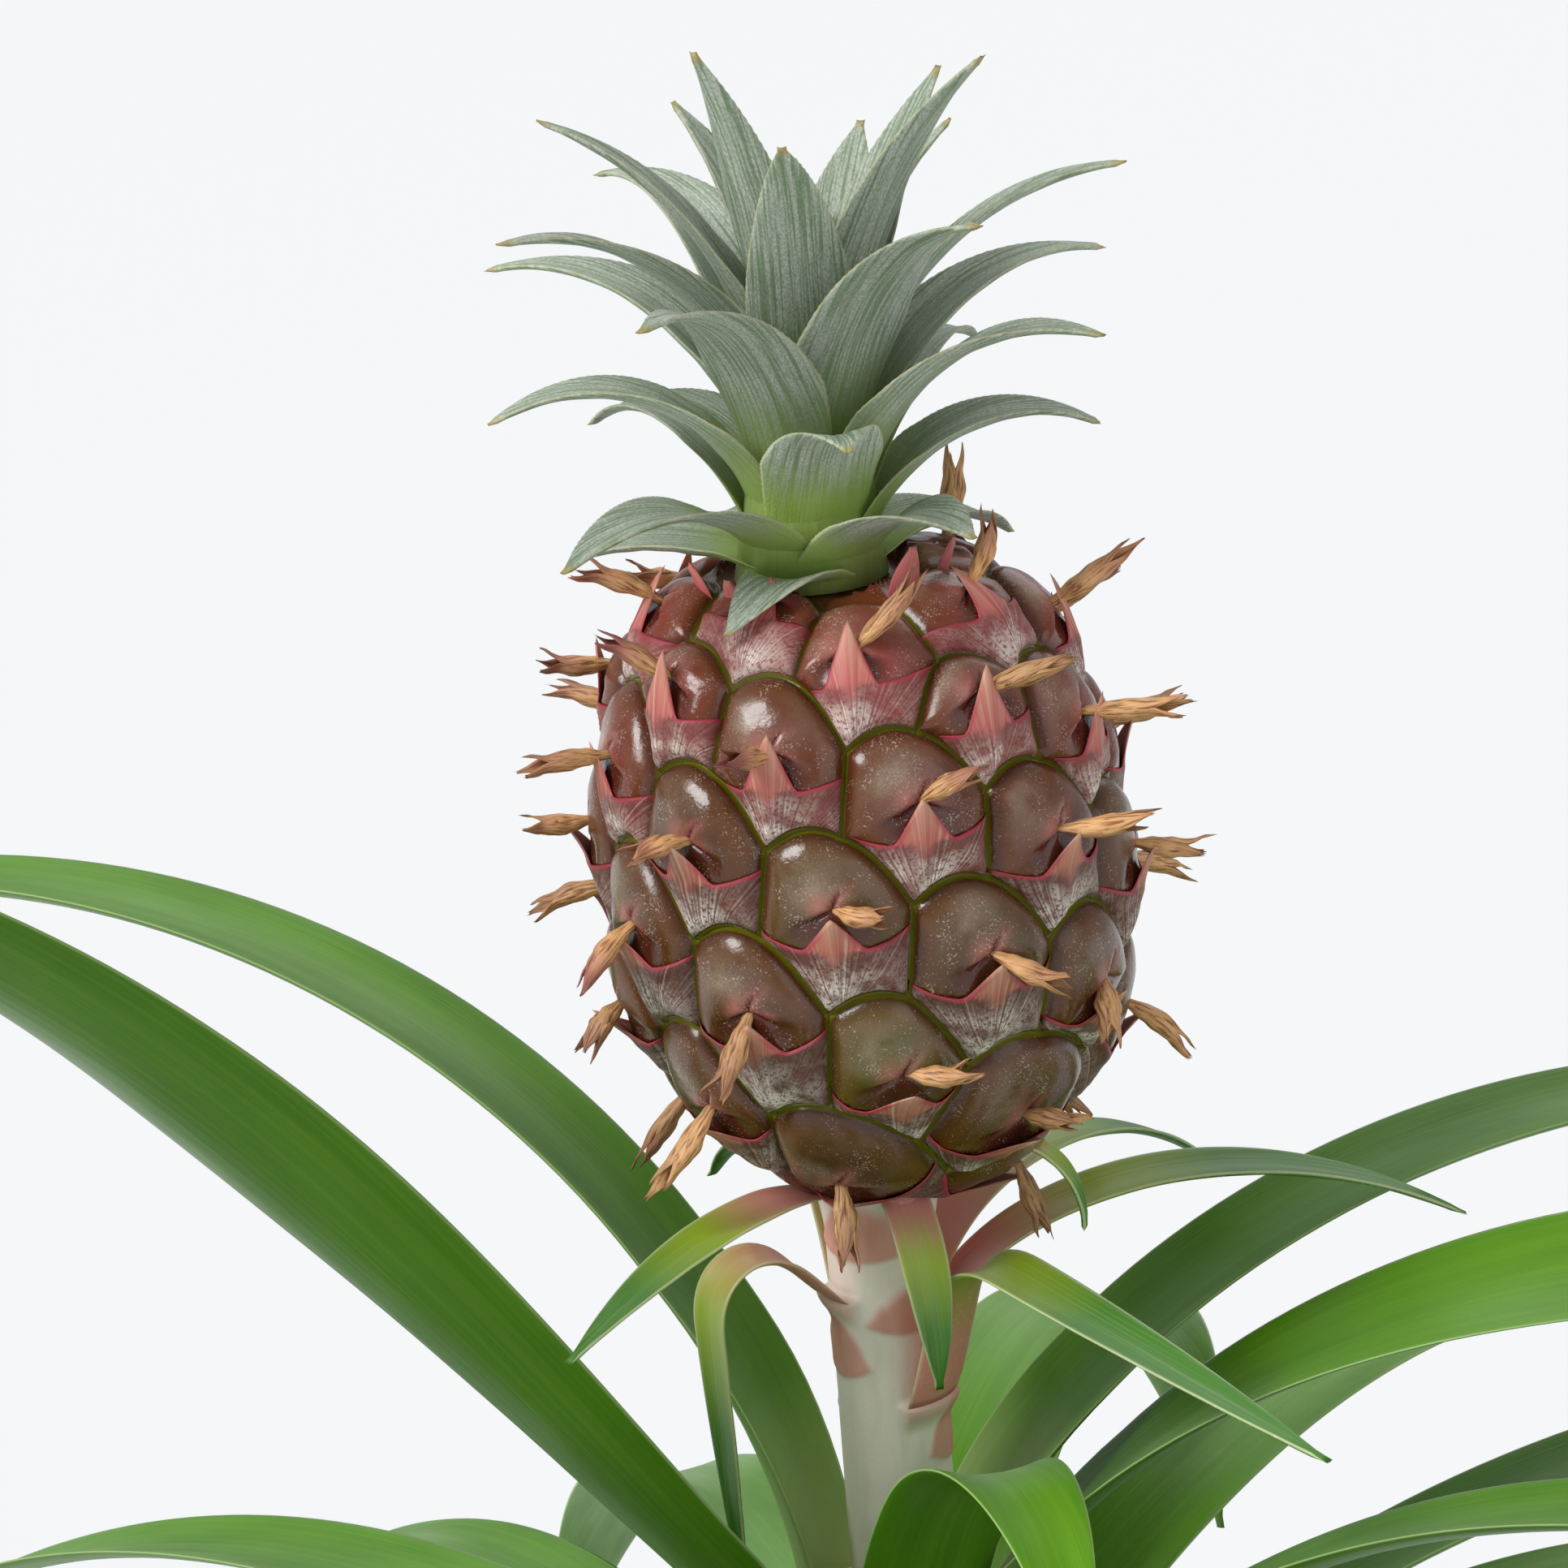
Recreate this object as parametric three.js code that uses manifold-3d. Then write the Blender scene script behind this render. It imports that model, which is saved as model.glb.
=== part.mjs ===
// A dwarf pineapple plant in a plain pot: a rosette of arching strap leaves round a short stem, a stalk with
// small leaves, one fruit whose eyes each carry a scale and a dried flower, and a leafy crown on top.
// Millimetres, +Z up, the origin at the middle of the pot's flat underside. The front is towards -Y.
import * as THREE from "three";
import { ConvexHull } from "three/addons/math/ConvexHull.js";
import { mergeVertices } from "three/addons/utils/BufferGeometryUtils.js";
import Module from "manifold-3d";

const wasm = await Module();
wasm.setup();

// Driving dimensions
const GAP = 0.3; // clearance between neighbouring pieces
const SPIRAL_DEGREES = 137.508; // turn from one leaf or eye to the next
const SPIRAL = THREE.MathUtils.degToRad(SPIRAL_DEGREES);

const POT = {
  height: 105,
  rimRadius: 60,
  rimHeight: 16,
  rimStep: 3.5,
  baseRadius: 43,
  wall: 3.5,
  floor: 4,
  drainRadius: 4,
  drainCircle: 27,
  sides: 40,
};
const SOIL = { top: 95, lump: 1.3, rings: 6 };
const STEM = { footRadius: 16, topRadius: 8.2, bottom: 78, foot: 93, top: 158, sides: 24 };
const STALK = { radius: 6.6, length: 56 };
const FRUIT = {
  height: 77.5,
  radius: 30.5,
  base: new THREE.Vector3(-2.2, -6.6, 210),
  leftTilt: THREE.MathUtils.degToRad(4.2),
  frontLean: THREE.MathUtils.degToRad(6.5),
  lowerFullness: 1,
  upperFullness: 0.5,
  eyeArea: 293, // on the surface, half way up
  eyeAreaLess: 222, // how much smaller an eye is at the top than at the bottom
  firstEye: 0.81, // where the spiral's first eye lies, counted in eyes from the bottom
  eyeTurn: THREE.MathUtils.degToRad(-4.4), // azimuth of the eye that faces the front
  frontEye: 24,
  cellDrop: 2.3, // how far below its flower the middle of an eye's cell lies
  lowerSwell: 3, // how far the lower part swells to the right
  groove: 1.3,
  dome: 1.5,
  scalePoint: 2.6,
  flatBottom: 1.4,
  flatTop: 1.6,
};
const CROWN = {
  leaves: 30,
  topLeaf: 33, // the number that a leaf at the very top of the spiral would have
  coreRadius: 9,
  coreHeight: 31,
  frontLeaf: 9,
  frontTurn: 8,
  shift: -2.4, // from the fruit's axis
  lean: 0.05, // to the right for each millimetre up
};
const ROSETTE = { leaves: 24, frontLeaf: 20, frontTurn: 25, lowest: 98, highest: 155, steps: 9, panels: 4 };
const BASE_ARC = 1.05; // half the angle that a leaf's base takes up round the trunk, in radians
const VIEW_RAISED = THREE.MathUtils.degToRad(11.05); // the height of the photo's view over the horizon

const degrees = THREE.MathUtils.degToRad;
const { lerp, clamp, smoothstep } = THREE.MathUtils;

// A repeatable draw from -1 to 1 for a numbered item, so that every build places things alike.
function draw(item, salt) {
  const x = Math.sin(item * 12.9898 + salt * 78.233) * 43758.5453;
  return 2 * (x - Math.floor(x)) - 1;
}

// Solids: a closed three.js geometry as a manifold-3d solid, and back again.
function solid(geometry) {
  const bare = geometry.clone();
  for (const name of Object.keys(bare.attributes)) {
    if (name !== "position") bare.deleteAttribute(name);
  }
  const merged = mergeVertices(bare, 1e-4);
  return new wasm.Manifold(
    new wasm.Mesh({
      numProp: 3,
      vertProperties: new Float32Array(merged.attributes.position.array),
      triVerts: new Uint32Array(merged.index.array),
    }),
  );
}

function geometryOf(body) {
  const mesh = body.getMesh();
  const positions = new Float32Array(mesh.numVert * 3);
  for (let i = 0; i < mesh.numVert; i++) {
    positions.set(mesh.vertProperties.subarray(i * mesh.numProp, i * mesh.numProp + 3), i * 3);
  }
  const geometry = new THREE.BufferGeometry();
  geometry.setAttribute("position", new THREE.BufferAttribute(positions, 3));
  geometry.setIndex(new THREE.BufferAttribute(new Uint32Array(mesh.triVerts), 1));
  geometry.computeVertexNormals();
  return geometry;
}

// The largest connected body of a solid, without the loose scraps that joining can leave.
function largest(body) {
  const pieces = body.decompose();
  return pieces.reduce((a, b) => (b.volume() > a.volume() ? b : a));
}

// A lathe round +Z from a profile of [radius, height] points that starts and ends on the axis.
function lathe(profile, sides) {
  const points = profile.map(([r, z]) => new THREE.Vector2(r, z));
  return new THREE.LatheGeometry(points, sides).rotateX(Math.PI / 2);
}

function material(colour, roughness) {
  return new THREE.MeshStandardMaterial({ color: colour, roughness, metalness: 0 });
}

const MATERIALS = {
  pot: material("#b9744f", 0.85),
  soil: material("#2e221a", 1),
  stem: material("#b9b6a4", 0.8),
  leaf: material("#3f7424", 0.4),
  stalkLeaf: material("#6f8f35", 0.45),
  fruit: material("#7a4d38", 0.45),
  crown: material("#83987f", 0.7),
};

const plant = new THREE.Group();

function place(name, geometry, finish, parent = plant) {
  const mesh = new THREE.Mesh(geometry, finish);
  mesh.name = name;
  parent.add(mesh);
  return mesh;
}

// Horizontal directions at an azimuth: 0 faces the front and a quarter turn faces +X.
const outward = (a) => new THREE.Vector3(Math.sin(a), -Math.cos(a), 0);
const sideways = (a) => new THREE.Vector3(Math.cos(a), Math.sin(a), 0);
const UP = new THREE.Vector3(0, 0, 1);

// Leaf blades
// A blade starts at a radius and height beside an upright axis, climbs at its rise angle and bends over to
// its fall angle, all along its length or, where it has a fold, between two shares of its length.
// Its section is an arc: round the axis at the clasping base, and a shallow trough further out.
function midline(blade, steps) {
  const points = [];
  const fine = 8;
  let r = blade.radius;
  let z = blade.height;
  for (let i = 0; i <= steps * fine; i++) {
    const s = i / (steps * fine);
    const turned = blade.fold ? smoothstep(s, ...blade.fold) : Math.pow(s, blade.bend);
    const angle = lerp(blade.rise, blade.fall, turned);
    if (i % fine === 0) points.push({ s, r, z, angle });
    r += (Math.cos(angle) * blade.length) / (steps * fine);
    z += (Math.sin(angle) * blade.length) / (steps * fine);
  }
  return points;
}

// One section of the blade: the points of its inner and outer faces, from the left edge to the right edge.
function section(blade, at, panels) {
  const out = outward(blade.azimuth);
  const side = sideways(blade.azimuth);
  const middle = out.clone().multiplyScalar(at.r).addScaledVector(UP, at.z);
  middle.addScaledVector(side, blade.sway * blade.length * at.s * at.s);
  const inner = out.clone().multiplyScalar(-Math.sin(at.angle)).addScaledVector(UP, Math.cos(at.angle));
  const lift = out.clone().negate().lerp(inner, smoothstep(at.s, 0, blade.sheath)).normalize();
  const along = out.clone().multiplyScalar(Math.cos(at.angle)).addScaledVector(UP, Math.sin(at.angle));
  const roll = blade.roll * smoothstep(at.s, 0, 0.5);
  lift.applyAxisAngle(along, roll);
  side.applyAxisAngle(along, roll);
  const half = blade.halfWidth(at.s);
  const bow = Math.max(half / at.r, blade.cup);
  const radius = half / bow / Math.cos(bow / panels);
  const centre = middle.clone().addScaledVector(lift, half / bow);
  const faces = [radius, radius + blade.thickness];
  return faces.map((distance) =>
    Array.from({ length: panels + 1 }, (_, i) => {
      const angle = bow * ((2 * i) / panels - 1);
      return centre
        .clone()
        .addScaledVector(lift, -distance * Math.cos(angle))
        .addScaledVector(side, distance * Math.sin(angle));
    }),
  );
}

function bladeGeometry(blade, steps, panels) {
  const rings = midline(blade, steps).map((at) => section(blade, at, panels));
  const positions = [];
  rings.forEach((ring) => ring.forEach((row) => row.forEach((p) => positions.push(p.x, p.y, p.z))));
  const row = panels + 1;
  const index = [];
  const corner = (step, face, i) => step * 2 * row + face * row + i;
  const quad = (a, b, c, d) => index.push(a, c, b, a, d, c);
  for (let step = 0; step < steps; step++) {
    for (let i = 0; i < panels; i++) {
      quad(corner(step, 0, i), corner(step, 0, i + 1), corner(step + 1, 0, i + 1), corner(step + 1, 0, i));
      index.push(corner(step, 1, i), corner(step, 1, i + 1), corner(step + 1, 1, i + 1));
      index.push(corner(step, 1, i), corner(step + 1, 1, i + 1), corner(step + 1, 1, i));
    }
    quad(corner(step, 0, 0), corner(step + 1, 0, 0), corner(step + 1, 1, 0), corner(step, 1, 0));
    const next = step + 1;
    quad(corner(step, 1, panels), corner(next, 1, panels), corner(next, 0, panels), corner(step, 0, panels));
  }
  for (let i = 0; i < panels; i++) {
    quad(corner(0, 0, i), corner(0, 1, i), corner(0, 1, i + 1), corner(0, 0, i + 1));
    quad(corner(steps, 0, i + 1), corner(steps, 1, i + 1), corner(steps, 1, i), corner(steps, 0, i));
  }
  const geometry = new THREE.BufferGeometry();
  geometry.setAttribute("position", new THREE.Float32BufferAttribute(positions, 3));
  geometry.setIndex(index);
  geometry.computeVertexNormals();
  return geometry;
}

// Half the width along a strap leaf: a clasping base, a slight waist, and a long point from the widest place.
function strapWidth(base, widest) {
  return (s) => {
    if (s < 0.35) return lerp(base, widest, smoothstep(s, 0, 0.14));
    return Math.max(0.4, widest * (1 - Math.pow((s - 0.35) / 0.65, 1.9)));
  };
}

// The pot: a plain round tapered pot with a rim, a flat base and four drain holes.
function potInnerRadius(z) {
  const wallTop = POT.height - POT.rimHeight;
  const outer = lerp(POT.baseRadius, POT.rimRadius - POT.rimStep, clamp(z / wallTop, 0, 1));
  return outer - POT.wall;
}

function pot() {
  const { height, rimRadius, rimHeight, rimStep, baseRadius, wall, floor } = POT;
  const rimBottom = height - rimHeight;
  const wallRadius = rimRadius - rimStep;
  const profile = [
    [0, 0],
    [baseRadius - 1.5, 0],
    [baseRadius, 1.5],
    [wallRadius, rimBottom],
    [rimRadius, rimBottom],
    [rimRadius, height - 1.5],
    [rimRadius - 1.5, height],
    [wallRadius - wall + 1.5, height],
    [wallRadius - wall, height - 1.5],
    [wallRadius - wall, rimBottom],
    [potInnerRadius(floor), floor],
    [0, floor],
  ];
  let body = solid(lathe(profile, POT.sides));
  for (let i = 0; i < 4; i++) {
    const direction = outward(degrees(45 + 90 * i)).multiplyScalar(POT.drainCircle);
    const hole = new THREE.CylinderGeometry(POT.drainRadius, POT.drainRadius, 4 * floor, 12);
    hole.rotateX(Math.PI / 2).translate(direction.x, direction.y, 0);
    body = body.subtract(solid(hole));
  }
  place("pot", geometryOf(body), MATERIALS.pot);
}

// The soil fills the pot to below the rim. Its top is crumbly, and the stem stands in a plain hole.
function soil() {
  const bottom = POT.floor + GAP;
  const edge = potInnerRadius(SOIL.top) - GAP;
  const profile = [[0, bottom], [potInnerRadius(bottom) - GAP, bottom], [edge, POT.height - POT.rimHeight]];
  for (let ring = 0; ring <= SOIL.rings; ring++) {
    profile.push([edge * (1 - ring / SOIL.rings), SOIL.top]);
  }
  const geometry = lathe(profile, POT.sides);
  const position = geometry.attributes.position;
  for (let i = 0; i < position.count; i++) {
    const x = position.getX(i);
    const y = position.getY(i);
    if (position.getZ(i) > SOIL.top - 1 && Math.hypot(x, y) < edge - 1) {
      position.setZ(i, SOIL.top + SOIL.lump * draw(Math.round(x * 10), Math.round(y * 10) / 100));
    }
  }
  const hole = new THREE.CylinderGeometry(STEM.footRadius + GAP, STEM.footRadius + GAP, 40, STEM.sides);
  hole.rotateX(Math.PI / 2).translate(0, 0, STEM.bottom - GAP + 20);
  place("soil", geometryOf(largest(solid(geometry).subtract(solid(hole)))), MATERIALS.soil);
}

// The fruit's frame: its base point and lean. The stalk, its leaves, the fruit and the crown all stand in it.
const head = new THREE.Group();
head.position.copy(FRUIT.base);
head.rotation.set(FRUIT.frontLean, -FRUIT.leftTilt, 0, "XYZ");
plant.add(head);

// The stem: a thick short trunk in the soil that carries the rosette, and the thinner stalk that leans with
// the fruit.
function trunkRadius(z) {
  const { footRadius, topRadius, foot, top } = STEM;
  return lerp(footRadius, topRadius, clamp((z - foot) / (top - foot), 0, 1));
}

function stem() {
  const { footRadius, topRadius, bottom, foot, top, sides } = STEM;
  const profile = [[0, bottom], [footRadius, bottom], [footRadius, foot], [topRadius, top], [0, top]];
  const trunk = lathe(profile, sides);
  const crest = FRUIT.flatBottom - GAP;
  const stalk = lathe(
    [
      [0, -STALK.length],
      [STALK.radius, -STALK.length],
      [STALK.radius, crest - 6],
      [STALK.radius + 0.9, crest],
      [0, crest],
    ],
    sides,
  );
  head.updateMatrix();
  stalk.applyMatrix4(head.matrix);
  place("stem", geometryOf(largest(solid(trunk).add(solid(stalk)))), MATERIALS.stem);
}

// The rosette: leaves on one spiral up the trunk. Lower leaves lie flatter and are older.
function rosetteLeaf(i) {
  const t = i / (ROSETTE.leaves - 1);
  const own = OWN_SHAPE[i] || {};
  const height = lerp(ROSETTE.lowest, ROSETTE.highest, t);
  const radius = trunkRadius(height) + GAP;
  return {
    azimuth: degrees(own.turn ?? ROSETTE.frontTurn + SPIRAL_DEGREES * (i - ROSETTE.frontLeaf)),
    radius: radius / Math.cos(BASE_ARC / ROSETTE.panels),
    height,
    length: own.length ?? 200 + 45 * Math.sin(Math.PI * Math.min(1, t * 1.15)) + 8 * draw(i, 1),
    rise: degrees(own.rise ?? lerp(24, 40, t)),
    fall: degrees(own.fall ?? lerp(-52, -58, t) + 4 * draw(i, 2)),
    bend: own.bend ?? 1.25,
    sway: own.sway ?? 0.05 * draw(i, 3),
    roll: degrees(own.roll ?? 0),
    sheath: 0.2,
    cup: 0.42,
    thickness: 0.9,
    halfWidth: strapWidth(BASE_ARC * radius, own.halfWidth ?? 11.3 + 0.6 * draw(i, 4)),
  };
}

// The leaves that show closest to the fruit have shapes of their own.
const OWN_SHAPE = {
  9: { rise: 26, fall: -58 },
  10: { rise: 46, fall: -44 },
  11: { rise: 17, fall: -56 },
  14: { rise: 26, fall: -52 },
  15: { rise: 46, fall: -44, length: 200 },
  16: { rise: 14, fall: -60, length: 200 },
  17: { rise: 34, fall: -68, length: 180 },
  18: { turn: 162, length: 165, rise: 50, fall: -70, bend: 1 },
  19: { turn: -57, length: 250, rise: 47, fall: -25, bend: 3.2, sway: 0.018, roll: 20, halfWidth: 15 },
  20: { turn: 74, length: 235, rise: 74, fall: -32, bend: 0.62, roll: 22 },
  21: { turn: 17, length: 84, rise: 73, fall: -93, bend: 1.6, halfWidth: 8.5 },
  22: { turn: -107, length: 245, rise: 82, fall: -42, bend: 0.85 },
  23: { turn: 106, length: 235, rise: 80, fall: -38, bend: 0.6 },
};

function rosette() {
  for (let i = 0; i < ROSETTE.leaves; i++) {
    const name = "leaf_" + String(i + 1).padStart(2, "0");
    place(name, bladeGeometry(rosetteLeaf(i), ROSETTE.steps, ROSETTE.panels), MATERIALS.leaf);
  }
}

// Small leaves on the stalk under the fruit, in the fruit's frame. Heights count down from the fruit's base.
const STALK_LEAVES = [
  { turn: -62, height: -12.5, length: 62, rise: 48, fall: -92, fold: [0.07, 0.4], halfWidth: 3.7 },
  { turn: 47.5, height: -26, length: 74, rise: 72, fall: -15, fold: [0.18, 0.36], halfWidth: 4.5 },
  { turn: 97.5, height: -15.2, length: 70, rise: 57, fall: -32, bend: 0.62, halfWidth: 5 },
  { turn: 133, height: -12, length: 55, rise: 56, fall: -42, bend: 0.65, halfWidth: 4 },
  { turn: -165, height: -22, length: 60, rise: 70, fall: -20, bend: 1, halfWidth: 4.5 },
];

// Small leaves that grow out of the fruit's underside and are one with it.
const FRUIT_LEAVES = [
  { turn: -41, radius: 10, height: 2.6, length: 46, rise: 18, fall: -22, bend: 0.6, halfWidth: 3.8 },
  { turn: 19, radius: 7, height: 2.4, length: 27, rise: 0, fall: -96, bend: 0.5, halfWidth: 2.9 },
  { turn: 75, radius: 15, height: 6.5, length: 18, rise: 15, fall: -97, bend: 0.77, halfWidth: 1.8 },
  { turn: -140, radius: 12, height: 4, length: 24, rise: 0, fall: -50, bend: 0.8, halfWidth: 3 },
  { turn: 160, radius: 12, height: 4, length: 20, rise: 0, fall: -60, bend: 0.8, halfWidth: 2.6 },
];

// Pointed bracts that stand round the crown's foot and are one with the fruit.
const TOP_BRACTS = [
  { turn: 38, radius: 12.4, length: 9.5 },
  { turn: 74, radius: 12.2, length: 8 },
  { turn: 176, radius: 12.2, length: 6.5 },
  { turn: -76, radius: 14.4, length: 7 },
  { turn: -48, radius: 13.9, length: 6.5 },
];

function smallLeaf(leaf) {
  return bladeGeometry(
    {
      azimuth: degrees(leaf.turn),
      radius: leaf.radius ?? (STALK.radius + GAP) * 1.08,
      height: leaf.height,
      length: leaf.length,
      rise: degrees(leaf.rise),
      fall: degrees(leaf.fall),
      bend: leaf.bend,
      fold: leaf.fold,
      sway: 0,
      roll: 0,
      sheath: 0.25,
      cup: 0.5,
      thickness: 0.7,
      halfWidth: strapWidth(leaf.halfWidth, leaf.halfWidth),
    },
    leaf.fold ? 12 : 8,
    2,
  );
}

function stalkLeaves() {
  STALK_LEAVES.forEach((leaf, i) => {
    place("stalk_leaf_" + (i + 1), smallLeaf(leaf), MATERIALS.stalkLeaf, head);
  });
}

// The fruit
// The outline runs over an angle from 0 at the bottom to pi at the top, and is fuller above than below.
function outline(angle) {
  const fullness = angle < Math.PI / 2 ? FRUIT.lowerFullness : FRUIT.upperFullness;
  return {
    r: FRUIT.radius * Math.pow(Math.sin(angle), fullness),
    z: (FRUIT.height / 2) * (1 - Math.cos(angle)),
  };
}

// The area of one eye at a height.
function oneEye(z) {
  return FRUIT.eyeArea - FRUIT.eyeAreaLess * (z / FRUIT.height - 0.5);
}

// How many eyes lie below each angle of the outline, from the area of the surface and of one eye.
function eyeCount() {
  const steps = 1200;
  const table = [{ angle: 1e-4, count: 0 }];
  let before = outline(1e-4);
  for (let i = 1; i <= steps; i++) {
    const angle = 1e-4 + ((Math.PI - 2e-4) * i) / steps;
    const here = outline(angle);
    const strip = Math.PI * (here.r + before.r) * Math.hypot(here.r - before.r, here.z - before.z);
    table.push({ angle, count: table[i - 1].count + strip / oneEye(here.z) });
    before = here;
  }
  return table;
}

const EYE_TABLE = eyeCount();
const EYE_TOTAL = EYE_TABLE[EYE_TABLE.length - 1].count;

function angleAt(count) {
  const i = EYE_TABLE.findIndex((row) => row.count >= count);
  if (i <= 0) return EYE_TABLE[i < 0 ? EYE_TABLE.length - 1 : 0].angle;
  const [a, b] = [EYE_TABLE[i - 1], EYE_TABLE[i]];
  return lerp(a.angle, b.angle, (count - a.count) / (b.count - a.count));
}

// A place on the fruit is kept as a direction on a sphere on which every eye has the same area.
function direction(count, azimuth) {
  const z = (2 * count) / EYE_TOTAL - 1;
  return outward(azimuth).multiplyScalar(Math.sqrt(Math.max(0, 1 - z * z))).setZ(z);
}

// The surface point for such a direction, raised along the surface's normal.
function onFruit(where, raised) {
  const z = clamp(where.z / where.length(), -1, 1);
  const angle = angleAt((EYE_TOTAL * (z + 1)) / 2);
  const [below, here, above] = [outline(angle - 1e-3), outline(angle), outline(angle + 1e-3)];
  const out = new THREE.Vector3(where.x, where.y, 0).normalize();
  const normal = out.clone().multiplyScalar(above.z - below.z);
  normal.addScaledVector(UP, below.r - above.r).normalize();
  const swell = FRUIT.lowerSwell * out.x * out.x * Math.min(1, here.r / 12) * (1 - here.z / FRUIT.height);
  const point = out.multiplyScalar(here.r).addScaledVector(UP, here.z).addScaledVector(normal, raised);
  point.x += swell;
  return { point, normal };
}

// The eyes on their spiral, with the front eye facing the front.
function eyes() {
  const found = [];
  for (let k = 0; k + FRUIT.firstEye < EYE_TOTAL; k++) {
    const azimuth = FRUIT.eyeTurn + SPIRAL * (k - FRUIT.frontEye);
    const where = direction(k + FRUIT.firstEye, azimuth);
    const { point, normal } = onFruit(where, 0);
    const across = new THREE.Vector3().crossVectors(UP, normal).normalize();
    const up = new THREE.Vector3().crossVectors(normal, across);
    found.push({ k, where, point, normal, across, up });
  }
  return found;
}

// A cell's corner, moved down the fruit, because an eye's flower stands above the middle of its cell.
function lowered(where) {
  const at = outline(angleAt((EYE_TOTAL * (where.z + 1)) / 2));
  const wide = at.r / Math.sqrt(1 - where.z * where.z);
  const tall = (oneEye(at.z) * EYE_TOTAL) / (4 * Math.PI) / wide;
  const drop = (FRUIT.cellDrop * clamp((at.r - 5) / 12, 0, 1)) / tall;
  const side = new THREE.Vector3().crossVectors(UP, where).normalize();
  const upward = new THREE.Vector3().crossVectors(where, side);
  return where.clone().multiplyScalar(Math.cos(drop)).addScaledVector(upward, -Math.sin(drop));
}

// Each eye is a low dome whose lower half is covered by a scale, which rises to a point over the middle.
// A cell's corners are the middles of the triangles that join its eye to the neighbouring ones.
function eyeSurface(all) {
  const hull = new ConvexHull().setFromPoints(all.map((eye) => eye.where));
  const cells = all.map(() => []);
  for (const face of hull.faces) {
    const edges = [face.edge, face.edge.next, face.edge.prev];
    const points = edges.map((edge) => edge.head().point);
    const middle = lowered(points[0].clone().add(points[1]).add(points[2]).normalize());
    const members = points.map((p) => all.findIndex((eye) => eye.where === p));
    members.forEach((m) => cells[m].push(middle));
  }
  const positions = [];
  const triangle = (a, b, c) => [a, b, c].forEach((p) => positions.push(p.x, p.y, p.z));
  all.forEach((eye, i) => {
    const side = new THREE.Vector3().crossVectors(UP, eye.where).normalize();
    const upward = new THREE.Vector3().crossVectors(eye.where, side);
    const turn = (p) => Math.atan2(p.dot(upward), p.dot(side));
    const corners = cells[i].sort((p, q) => turn(p) - turn(q));
    const rim = corners.map((p) => onFruit(p, -FRUIT.groove).point);
    const ring = corners.map((p) => {
      const lower = clamp(-(p.clone().sub(eye.where).normalize().dot(upward)) * 1.6, 0, 1);
      const where = eye.where.clone().lerp(p, lerp(0.66, 0.5, lower));
      return onFruit(where, FRUIT.dome * lerp(0.5, 0.9, lower)).point;
    });
    const nearAxis = clamp((Math.hypot(eye.point.x, eye.point.y) - 8) / 14, 0.2, 1);
    const centre = onFruit(eye.where, FRUIT.scalePoint * nearAxis).point;
    centre.addScaledVector(eye.up, 1.5 * nearAxis);
    rim.forEach((_, j) => {
      const n = (j + 1) % rim.length;
      triangle(centre, ring[j], ring[n]);
      triangle(ring[j], rim[j], rim[n]);
      triangle(ring[j], rim[n], ring[n]);
    });
  });
  const geometry = new THREE.BufferGeometry();
  geometry.setAttribute("position", new THREE.Float32BufferAttribute(positions, 3));
  return geometry;
}

// Where the dried flowers that show in the photo point, seen from the front: millimetres to the right and up.
const FLOWER_LEAN = {
  3: [2.4, -10.5],
  6: [7.2, -1.4],
  11: [9.1, 0.5],
  13: [-4.3, -7.7],
  14: [0.5, -8.9],
  16: [-4.8, -10.1],
  19: [9.1, -4.8],
  21: [-6.7, -8.6],
  24: [7, -0.3],
  26: [-8.8, -0.7],
  27: [11.5, 1.4],
  29: [-7.4, -2.4],
  32: [7.7, 3.4],
  34: [-11.2, -2],
  35: [12.9, 1],
  37: [-4.8, -1],
  39: [-9.9, 0.1],
  40: [12.3, 4.1],
  42: [-9.4, 5.1],
  43: [11, 7.2],
  44: [-8.5, 1.5],
  45: [8.6, 9.9],
  47: [-11, 3.6],
  48: [2.4, 9.9],
};

// Length and direction of an eye's dried flower. Where none is known, upper ones rise and lower ones hang.
function flowerAim(eye) {
  const lean = FLOWER_LEAN[eye.k];
  if (lean) {
    const [right, up] = lean;
    const length = Math.max(9, Math.hypot(right, up) + 0.4);
    const toward = Math.sqrt(length * length - right * right - up * up);
    const seen = new THREE.Vector3(right, -toward, up).normalize();
    seen.applyAxisAngle(new THREE.Vector3(-1, 0, 0), VIEW_RAISED);
    return { length, aim: seen.applyQuaternion(head.quaternion.clone().invert()) };
  }
  const pull = lerp(-0.75, 0.45, eye.point.z / FRUIT.height) + 0.15 * draw(eye.k, 12);
  const aim = eye.normal.clone().addScaledVector(UP, pull).addScaledVector(eye.across, 0.3 * draw(eye.k, 13));
  return { length: 11.5 + 1.5 * draw(eye.k, 11), aim: aim.normalize() };
}

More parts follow.
